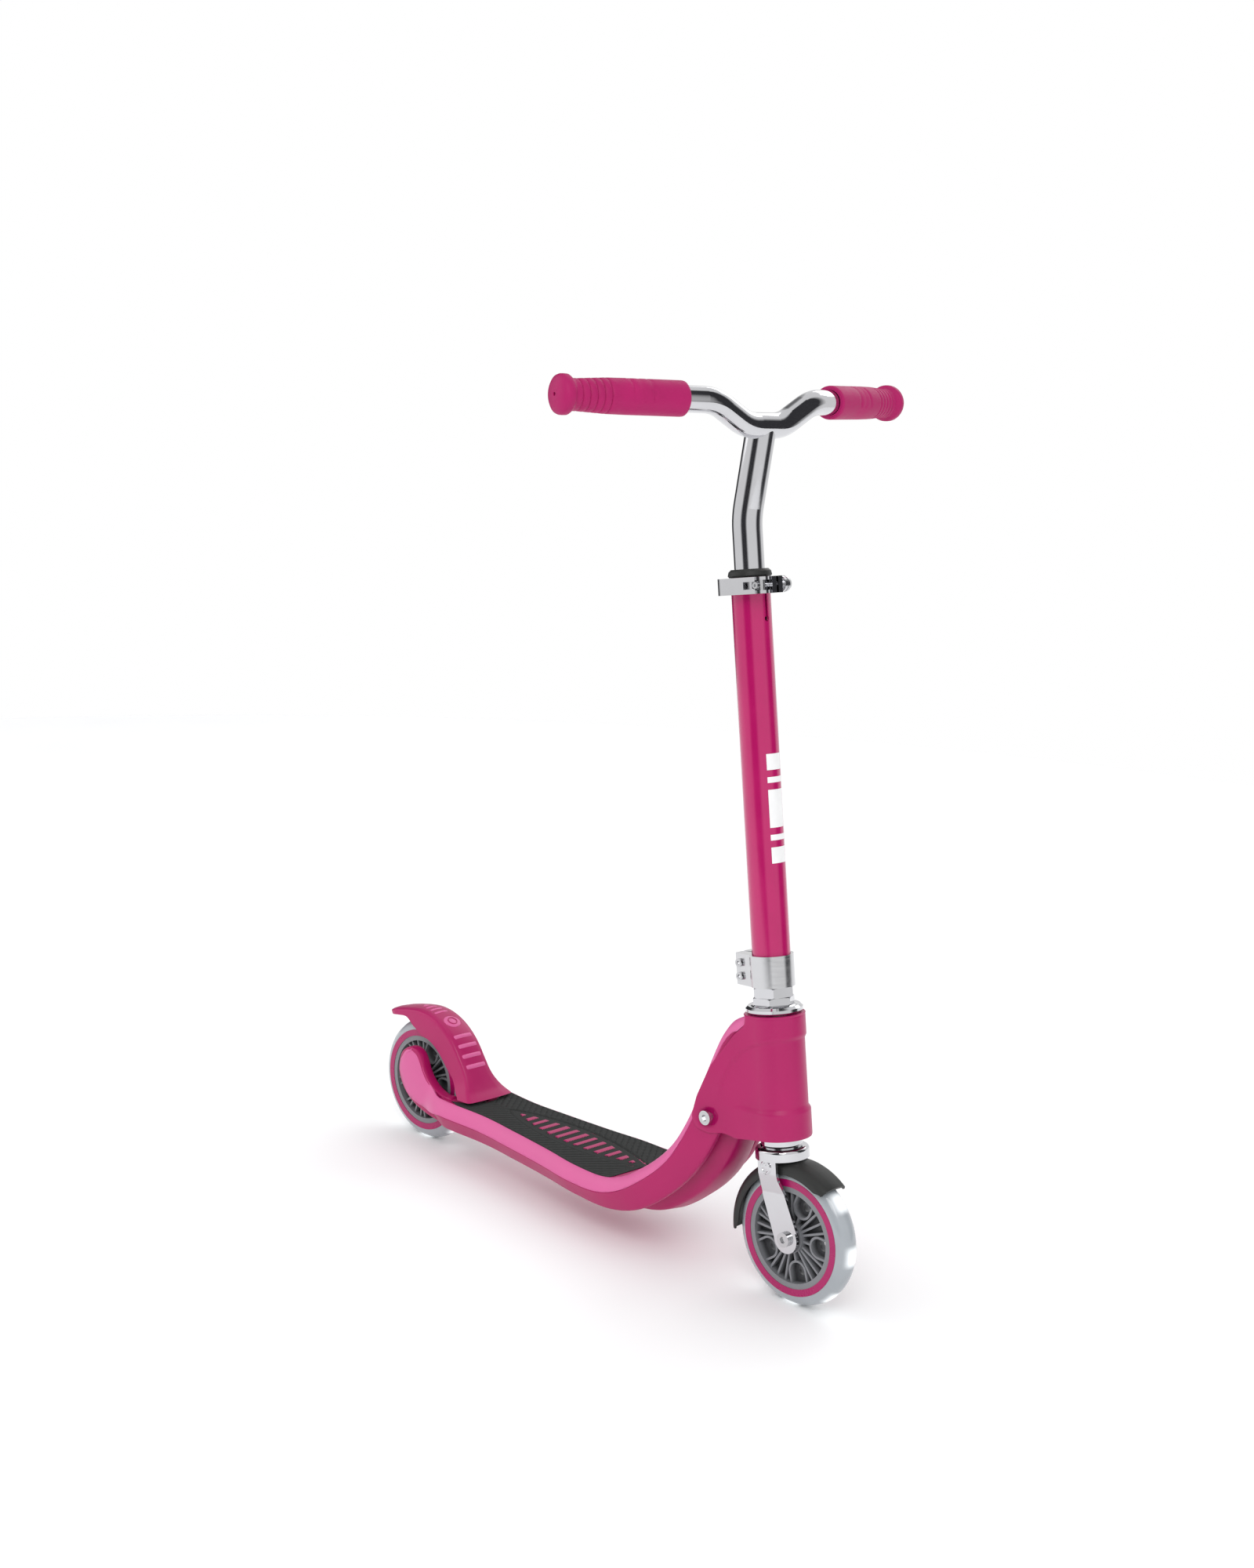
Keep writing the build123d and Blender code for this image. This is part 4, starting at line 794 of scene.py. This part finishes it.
def deck_mat():
    """Rubber foot mat with chevron grooves round a lens-shaped panel of raised bars."""
    xs = np.linspace(-190.0, 62.0, 60)
    half = half_width_at(xs) - 0.35
    kept = xs > MAT_REAR
    left = np.column_stack([xs, half])[kept]
    right = np.column_stack([xs, -half])[kept][::-1]
    front = [(64.5, half[-1] * 0.86), (65.5, half[-1] * 0.5), (66.0, 0), (65.5, -half[-1] * 0.5),
             (64.5, -half[-1] * 0.86)]
    arc = []
    for k in range(21):
        a = math.radians(-82 + 164 * k / 20)
        arc.append((PIN_X - 9.0 + 28.5 * math.cos(a), 31.0 * math.sin(a)))
    loop = resample(np.vstack([arc, left, front, right]), 1.3)
    points, faces = fill_outline(loop, 1.15)
    x = points[:, 0]
    y = points[:, 1]
    edge = edge_distance(points, loop)
    reach = np.clip(1 - ((x - LENS_MID) / LENS_HALF) ** 2, 0, None)
    lens = LENS_WIDE * reach ** 0.8
    inside_lens = (np.abs(y) < lens) & (np.abs(x - LENS_MID) < LENS_HALF)
    rim = np.exp(-((np.abs(y) - lens) / 1.0) ** 2) * (np.abs(x - LENS_MID) < LENS_HALF + 1)
    phase = (x + np.abs(y) * 0.75) / CHEVRON_PITCH
    line = np.abs(phase - np.round(phase)) * CHEVRON_PITCH
    chevron = smooth((1.25 - line) / 0.8)
    bar_phase = (x - LENS_MID) / BAR_PITCH
    bar = np.abs(bar_phase - np.round(bar_phase)) * BAR_PITCH
    raised = smooth((3.3 - bar) / 0.9) * smooth((lens - 7.5 - np.abs(y)) / 0.9)
    depth = np.where(inside_lens, -0.75 + 0.95 * raised, -0.85 * chevron * smooth((edge - 2.0) / 1.0))
    depth = depth - 0.8 * rim - 0.8 * smooth((1.2 - edge) / 1.2)
    rise = np.interp(x, [45, 66], [0, 3.2])
    verts = np.column_stack([x, y, MAT_TOP + depth + rise * rise / 3.2])
    obj = new_object("foot_mat", verts, faces, "mat_rubber", "frame", ["deck_mat"], 60)
    obj.data.materials.append(materials["magenta_plastic"])
    for poly in obj.data.polygons:
        c = np.mean([obj.data.vertices[i].co for i in poly.vertices], axis=0) / MM
        k = (c[0] - LENS_MID) / BAR_PITCH
        on_bar = abs(k - round(k)) * BAR_PITCH < 2.7
        half_len = LENS_WIDE * max(1 - ((c[0] - LENS_MID) / LENS_HALF) ** 2, 0) ** 0.8 - 8.2
        if on_bar and abs(c[1]) < half_len and abs(c[0] - LENS_MID) < LENS_HALF:
            poly.material_index = 1
        if poly.normal.z < 0:
            poly.flip()
    solidify(obj, MAT_THICK, 0.0, 60)
    return obj


# ---------------------------------------------------------------- head casing
def casing_half(p, w):
    """Half width of the casing, p behind the nose's tangent point, at height w."""
    share = (w - (CASING_LOW - 6.0)) / (CASING_TOP - CASING_LOW + 6.0)
    rear_u = -76.0 + 46.0 * share
    rear_v = 46.6 - 19.4 * share
    soft = 12.0
    k = (np.sqrt(p * p + soft * soft) - soft) / (np.sqrt(rear_u ** 2 + soft * soft) - soft)
    return NOSE_R + (rear_v - NOSE_R) * k


def head_casing():
    points, radii = casing_outline()
    quarter = NOSE_R * math.pi / 2
    right = [(-(quarter - u), w) for u, w in points]
    left = [(quarter - u, w) for u, w in points][::-1]
    loop = round_corners(right + left, radii + radii[::-1], 6)
    loop = resample(loop, 1.6)
    flat, faces = fill_outline(loop, 1.9)
    q = flat[:, 0]
    w = flat[:, 1]
    p = quarter - np.abs(q)
    side = np.sign(q)
    edge = edge_distance(flat, loop)
    angle = np.clip(p, 0, None) / NOSE_R
    u = np.where(p >= 0, NOSE_R * np.sin(angle), p)
    v = np.where(p >= 0, NOSE_R * np.cos(angle), casing_half(np.minimum(p, 0), w))
    fade = smooth((p + 34.0) / 30.0)
    band_line = CASING_LOW + 26.6 + 2.0 * smooth(-p / 20.0)
    out = 2.0 * smooth((band_line - w) / 1.6) * fade
    crease_w = [112.0, 125.0, 140.0, 155.0, 166.0, 172.5, 175.5, 176.8]
    crease_p = [-43.0, -41.0, -36.0, -27.0, -15.0, -2.0, 14.0, 40.0]
    line_w = np.interp(p, crease_p, crease_w)
    above = w - line_w
    strength = 1.5 * smooth((w - 118.0) / 30.0)
    out += strength * smooth(above / 1.6 + 0.5)
    bolt = np.hypot(u - LOBE_U, w - LOBE_W)
    out -= 1.5 * smooth((8.6 - bolt) / 0.9)
    out -= 0.5 * smooth((1.6 - edge) / 1.6)
    length = np.hypot(np.where(p >= 0, u, 0.0), np.where(p >= 0, v, 1.0))
    nu = np.where(p >= 0, u / length, 0.05)
    nv = np.where(p >= 0, v / length, 1.0)
    u = u + nu * out
    v = v + nv * out
    verts = [to_world(a, s * b if s else 0.0, c) for a, b, c, s in zip(u, v, w, side)]
    obj = new_object("head_shell", verts, faces, "magenta_plastic", "frame", ["head_casing"], 50)
    face_outwards(obj)
    solidify(obj, CASING_WALL, 0.0, 50)
    crown_plate()
    return obj


def face_outwards(obj):
    """Turn an open shell so that its faces point away from the steering axis."""
    bm = bmesh.new()
    bm.from_mesh(obj.data)
    bm.normal_update()
    total = 0.0
    for f in bm.faces:
        c = f.calc_center_median() / MM
        axis_x = FOOT_X - (c.z - FOOT_Z) * math.tan(RAKE)
        total += (f.normal.x * (c.x - axis_x) + f.normal.y * c.y) * f.calc_area()
    if total < 0:
        bmesh.ops.reverse_faces(bm, faces=bm.faces)
    bm.to_mesh(obj.data)
    bm.free()


def crown_plate():
    """Top plate that closes the casing under the headset's cap."""
    profile = [(19.0, CASING_TOP - 2.4), (26.6, CASING_TOP - 2.4), (27.2, CASING_TOP - 0.6),
               (26.6, CASING_TOP), (19.0, CASING_TOP)]
    verts, faces = turned(profile, STEER_BASE, STEER_AXIS, 64)
    return new_object("casing_top_plate", verts, faces, "magenta_plastic", "frame", ["head_casing"], 40)


# ---------------------------------------------------------------- brake
BRAKE_DEG = [3, 8, 16, 25, 34, 50, 66, 85, 100, 110, 118, 126, 131, 134]
BRAKE_OUT = [96, 87.5, 81, 77.4, 75.6, 75.2, 75.0, 74.8, 74.8, 75.6, 77.6, 80.6, 82.6, 83.0]
BRAKE_SIDE = [78, 68, 60, 54, 51, 50, 50, 50, 57, 67.5, 70.6, 74.4, 77.6, 81.8]


def brake_place(deg, r, y):
    a = math.radians(deg)
    return (REAR_X + r * math.cos(a), y, AXLE_Z + r * math.sin(a))


def brake_shell():
    rings = []
    for deg in np.linspace(3, 134, 110):
        out = float(pchip(BRAKE_DEG, BRAKE_OUT, deg))
        low = float(pchip(BRAKE_DEG, BRAKE_SIDE, deg))
        half = BRAKE_HALF
        if deg < 26:
            half = BRAKE_HALF + 12.5 * ((26 - deg) / 23.0) ** 2.4
        if deg > 122:
            half = BRAKE_HALF * math.sqrt(max(1 - ((deg - 122) / 12.6) ** 2, 0.03))
        inner = max(BRAKE_INNER, low + 0.05)
        inner = min(inner, out - 1.6)
        low = min(low, inner - 0.05)
        wall = min(2.4, half * 0.4)
        right = [(half + 0.3, low), (half, out - 1.0), (half * 0.6, out + 0.2), (0.0, out + 0.9)]
        line = round_corners(right, [0.4, 5.0, 6.0, 0.0], 5, closed=False)
        under = [(0.0, inner), (half - wall - 1.5, inner), (half - wall, inner - 0.2), (half - wall, low)]
        rings.append([brake_place(deg, r, y) for y, r in mirrored(line, under)])
    verts, faces = rings_to_mesh(rings)
    obj = new_object("brake_shell", verts, faces, "magenta_plastic", "brake", ["brake_fender"])
    return obj


def brake_marks():
    """Raised light bars, a disc and a small wedge along the top of the brake."""
    verts = []
    faces = []

    def patch(outline, lift=0.7, step=1.3):
        edge_loop = resample(outline, step)
        pts, tri = fill_outline(edge_loop, step)
        start = len(verts)
        near = edge_distance(pts, edge_loop)
        count = len(pts)
        for layer in (0, 1):
            for (deg_mm, y), e in zip(pts, near):
                deg = math.degrees(deg_mm / BRAKE_R)
                out = float(pchip(BRAKE_DEG, BRAKE_OUT, deg))
                crown = 0.9 - 0.7 * (abs(y) / 10.2) - (max(abs(y) - 10.2, 0) * 0.18)
                raise_by = (lift * float(smooth(e / 1.0)) if layer == 0 else -1.2)
                verts.append(brake_place(deg, out + crown + raise_by, y))
        for a, b, c in tri:
            faces.append((start + a, start + b, start + c))
            faces.append((start + count + c, start + count + b, start + count + a))
        n = len(edge_loop)
        for i in range(n):
            j = (i + 1) % n
            faces.append((start + i, start + j, start + count + j, start + count + i))

    def bar(deg, half, thick):
        mid = math.radians(deg) * BRAKE_R
        low, high = mid - thick, mid + thick
        return round_corners([(low, -half), (high, -half), (high, half), (low, half)], [1.2] * 4, 4)

    for deg, half in ((25.0, 12.6), (33.5, 12.4), (42.0, 12.0), (50.5, 11.4)):
        patch(bar(deg, half, 2.1))
    for deg, half in ((80.5, 8.4), (86.5, 7.6), (92.5, 6.8)):
        patch(bar(deg, half, 1.5))
    centre = math.radians(BADGE_DEG) * BRAKE_R
    turns = np.linspace(0, 2 * math.pi, 40, endpoint=False)
    ring = [(centre + 8.4 * math.cos(a), 9.4 * math.sin(a)) for a in turns]
    patch(ring)
    tip = math.radians(99.0) * BRAKE_R
    patch(round_corners([(tip - 1.6, -4.8), (tip + 3.6, 0.0), (tip - 1.6, 4.8)], [0.8] * 3, 3), 0.6, 1.0)
    obj = new_object("brake_marks", verts, faces, "light_pink_plastic", "brake", ["brake_inlays"], 45)
    profile = [(4.2, -0.4), (4.2, 1.9), (5.2, 1.9), (5.2, -0.4)]
    middle = Vector(brake_place(BADGE_DEG, BRAKE_R, 0.0))
    axis = middle - Vector((REAR_X, 0, AXLE_Z))
    ring_verts, ring_faces = turned(profile, middle, axis, 40)
    new_object("brake_ring_mark", ring_verts, ring_faces, "magenta_plastic", "brake", [], 40)
    return obj


# ---------------------------------------------------------------- wheels, fender and grips
def tyre(end, x):
    rows = []
    for k in range(33):
        a = math.radians(-90 + 180 * k / 32)
        rows.append((50.5 + 12.0 * math.cos(a), 12.0 * math.sin(a)))
    rows = [(r, y) for r, y in rows if r > 52.4]
    rows = [(52.4, rows[0][1])] + rows + [(52.4, rows[-1][1])]
    rows += [(52.4, 10.4), (49.2, 10.4), (49.2, 4.2), (53.0, 4.2), (53.0, -4.2), (49.2, -4.2), (49.2, -10.4),
             (52.4, -10.4)]
    verts, faces = turned(rows, (x, 0, AXLE_Z), (0, 1, 0), 128)
    return new_object(end + "_tyre_cast", verts, faces, "clear_tyre_" + end, end + "_wheel",
                      [end + "_tyre"], 40)


def front_guard():
    """Black front fender: a curved skin whose sides turn down beside the tyre."""
    inner = 65.6
    first, last = 46.0, 181.0
    rings = []
    for deg in np.linspace(first, last, 90):
        end_taper = min(deg - first, last - deg)
        edge_r = 57.0 + 4.0 * (1 - smooth(end_taper / 9.0))
        outer = [(16.0, edge_r), (15.7, 62.0), (12.0, 66.4), (5.0, 68.2), (0.0, 68.6)]
        skin = catmull(outer, 5)
        back = catmull([(0.0, inner), (5.0, inner - 0.3), (11.2, 64.2), (13.9, 61.0), (14.0, edge_r)], 5)
        ring = mirrored(skin, back)
        a = math.radians(deg)
        rings.append([to_world(FORK_OFFSET + r * math.cos(a), y, r * math.sin(a)) for y, r in ring])
    verts, faces = rings_to_mesh(rings)
    obj = new_object("front_guard", verts, faces, "black_plastic", "fork", ["front_fender"], 40)
    post = [(3.0, 64.5), (7.6, 64.5), (7.0, 70.0), (7.0, 74.3), (3.0, 74.3)]
    post_verts, post_faces = turned(post, STEER_BASE, STEER_AXIS, 40)
    new_object("guard_post", post_verts, post_faces, "black_plastic", "fork", ["front_fender"], 40)
    return obj


def grip(side, name, node):
    middle = Vector(to_world(77.5 * math.tan(BEND) + 2.5, 0, STEM_TOP + 127.0))
    inner = middle + Vector((-1.5, side * GRIP_IN, BAR_DROP))
    swept = (GRIP_OUT - GRIP_IN) * math.tan(SWEEP)
    end = Vector((inner.x - swept, side * GRIP_OUT, inner.z))
    axis = (inner - end).normalized()
    rows = [(11.15, 116.0), (13.8, 116.0), (14.6, 115.2), (14.8, 113.6), (14.7, 60.0), (14.5, 44.0)]
    for i in range(5):
        at = 41.0 - i * 6.6
        waist = 14.4 - 0.35 * i
        rows += [(waist, at + 1.1), (waist - 0.25, at + 0.7), (waist - 0.95, at), (waist - 0.25, at - 0.7),
                 (waist, at - 1.1)]
    rows += [(13.0, 9.5), (13.6, 7.6), (15.4, 6.4), (16.3, 5.0), (16.4, 2.0), (16.3, 0.0), (15.6, -1.8),
             (13.4, -3.4), (9.8, -4.6), (5.4, -5.3), (2.0, -5.5), (1.5, -5.2), (1.4, -2.5), (0.02, -2.4)]
    steps = 96
    side_vec = axis.orthogonal().normalized()
    up = axis.cross(side_vec)
    rings = []
    fine = []
    for (r0, s0), (r1, s1) in zip(rows, rows[1:]):
        parts = max(1, int(abs(s1 - s0) / 2.0))
        fine += [(r0 + (r1 - r0) * k / parts, s0 + (s1 - s0) * k / parts) for k in range(parts)]
    fine.append(rows[-1])
    for r, s in fine:
        ring = []
        for k in range(steps):
            a = 2 * math.pi * k / steps
            ray = side_vec * math.cos(a) + up * math.sin(a)
            cutin = 0.0
            for mid, span in ((62.0, 0.95), (71.0, 1.15), (80.0, 0.95)):
                facing = ray.dot(Vector((0.75, 0.0, 0.66)))
                bend = mid + 2.2 * (1 - facing)
                depth = float(smooth((facing - 0.62 + 0.1 * span) / 0.12))
                cutin += math.exp(-((s - bend) / 0.95) ** 2) * depth
            ring.append(tuple(end + axis * s + ray * max(r - 0.8 * cutin * (r > 11.5), 0.02)))
        rings.append(ring)
    verts, faces = rings_to_mesh(rings, caps=False)
    return new_object(name, verts, faces, "grip_rubber", "handlebar", [node], 40)


def headset_seals():
    """Dark rubber seals that hide the two rings of balls."""
    parts = []
    for low, high in ((80.5, 92.0), (193.0, 197.0)):
        profile = [(15.0, low), (17.2, low), (17.5, (low + high) / 2), (17.2, high), (15.0, high)]
        parts.append(turned(profile, STEER_BASE, STEER_AXIS, 64))
    verts, faces = merged(parts)
    new_object("headset_seals", verts, faces, "black_plastic", "frame", ["headset_balls"], 40)


def leg_badges():
    """Round pressed mark high on the outer face of each fork leg."""
    leg_face = 21.5
    profile = [(0.02, -0.5), (0.02, 0.85), (2.0, 0.8), (3.0, 0.35), (3.7, 0.35), (4.3, 0.95), (5.3, 0.95),
               (6.3, 0.1), (6.3, -0.5)]
    parts = [turned(profile, to_world(-1.0, side * leg_face, 63.0), (0, side, 0), 48) for side in (-1, 1)]
    verts, faces = merged(parts)
    return new_object("leg_badges", verts, faces, "chrome", "fork", [], 40)


def stem_marks():
    """Plain white bars up the front of the stem, in place of lettering."""
    tube_r = 17.06
    film = 0.12
    half_deg = 30.0
    steps = 12
    parts = []
    for low, high in ((330, 344), (350, 355), (361, 394), (400, 405), (411, 425)):
        rings = []
        for k in range(steps + 1):
            a = math.radians(-half_deg + 2 * half_deg * k / steps)
            corners = ((tube_r, low), (tube_r + film, low), (tube_r + film, high), (tube_r, high))
            rings.append([to_world(r * math.cos(a), r * math.sin(a), w) for r, w in corners])
        parts.append(rings_to_mesh(rings))
    verts, faces = merged(parts)
    return new_object("stem_marks", verts, faces, "white_print", "fork", [], 40)


# ---------------------------------------------------------------- camera, light and floor
def add_camera():
    az = math.radians(44.879)
    el = math.radians(11.56)
    roll = math.radians(3.102)
    back = Vector((math.sin(az) * math.cos(el), -math.cos(az) * math.cos(el), math.sin(el)))
    right = Vector((math.cos(az), math.sin(az), 0.0))
    up = back.cross(right)
    r2 = right * math.cos(roll) + up * math.sin(roll)
    u2 = up * math.cos(roll) - right * math.sin(roll)
    data = bpy.data.cameras.new("camera")
    data.lens = 49.989
    data.sensor_width = 36.0
    data.sensor_fit = "AUTO"
    data.clip_end = 50
    cam = bpy.data.objects.new("camera", data)
    bpy.context.scene.collection.objects.link(cam)
    target = Vector((0.253500 - 0.242526, 0.0, 0.422852))
    place = target + back * 2.010159
    cam.matrix_world = Matrix((
        (r2.x, u2.x, back.x, place.x), (r2.y, u2.y, back.y, place.y),
        (r2.z, u2.z, back.z, place.z), (0, 0, 0, 1)))
    bpy.context.scene.camera = cam


def add_light(name, place, aim, size, watts):
    data = bpy.data.lights.new(name, "AREA")
    data.shape = "RECTANGLE"
    data.size = size[0]
    data.size_y = size[1]
    data.energy = watts
    obj = bpy.data.objects.new(name, data)
    bpy.context.scene.collection.objects.link(obj)
    obj.location = place
    obj.rotation_euler = (Vector(aim) - Vector(place)).to_track_quat("-Z", "Y").to_euler()


def add_stage():
    rim = 64
    reach = 2.7
    mesh = bpy.data.meshes.new("floor")
    turns = [2 * math.pi * k / rim for k in range(rim)]
    mesh.from_pydata([(reach * math.cos(a), reach * math.sin(a), 0) for a in turns], [], [tuple(range(rim))])
    floor = bpy.data.objects.new("floor", mesh)
    bpy.context.scene.collection.objects.link(floor)
    paper = make_material("floor_paper", (0.955, 0.955, 0.955, 1), rough=0.75, vary=0.008, spots=3,
                          grain=120, bump=0.01, specular=0.2)
    mesh.materials.append(paper)
    add_light("key", (1.9, -2.3, 2.6), (0.0, 0.0, 0.35), (1.6, 1.6), 30)
    add_light("fill", (-2.4, -1.6, 1.5), (0.0, 0.0, 0.35), (1.8, 1.8), 7)
    add_light("back", (-0.6, 2.6, 2.2), (0.0, 0.0, 0.35), (1.8, 1.4), 10)
    world = bpy.data.worlds.new("studio")
    bpy.context.scene.world = world
    world.use_nodes = True
    node, link, remap, maths = tree_tools(world.node_tree)
    out = node("ShaderNodeOutputWorld")
    seen = node("ShaderNodeBackground", Color=(1.0, 1.0, 1.0, 1), Strength=1.0)
    lit = node("ShaderNodeBackground", Strength=0.85)
    soft = node("ShaderNodeBackground", Color=(0.985, 0.99, 1.0, 1), Strength=0.98)
    coord = node("ShaderNodeTexCoord")
    parts = node("ShaderNodeSeparateXYZ")
    link(coord.outputs["Generated"], parts.inputs[0])
    turn = maths("ARCTAN2", parts.outputs["Y"], parts.outputs["X"])
    bands = maths("SINE", maths("MULTIPLY_ADD", turn, 3.0, 2.4))
    ramp = node("ShaderNodeValToRGB")
    dark, bright = ramp.color_ramp.elements
    dark.position = 0.12
    dark.color = (0.05, 0.05, 0.055, 1)
    bright.position = 0.42
    bright.color = (1, 1, 1, 1)
    link(remap(bands, -1.0, 1.0), ramp.inputs[0])
    link(ramp.outputs[0], lit.inputs[0])
    path = node("ShaderNodeLightPath")
    last = soft
    for ray, shader in (("Is Glossy Ray", lit), ("Is Camera Ray", seen)):
        pick = node("ShaderNodeMixShader")
        link(path.outputs[ray], pick.inputs[0])
        link(last.outputs[0], pick.inputs[1])
        link(shader.outputs[0], pick.inputs[2])
        last = pick
    link(last.outputs[0], out.inputs[0])
    bpy.context.scene.view_settings.view_transform = "Standard"


make_materials()
dress_cad_nodes()
add_camera()
add_stage()
deck_shell()
arm_solid(-1, "arm_right")
arm_solid(1, "arm_left")
trim_strip(-1, "trim_right", "shoulder_trim_right")
trim_strip(1, "trim_left", "shoulder_trim_left")
deck_mat()
head_casing()
brake_shell()
brake_marks()
tyre("front", FRONT_X)
tyre("rear", REAR_X)
front_guard()
grip(-1, "grip_cover_right", "grip_right")
grip(1, "grip_cover_left", "grip_left")
headset_seals()
leg_badges()
stem_marks()
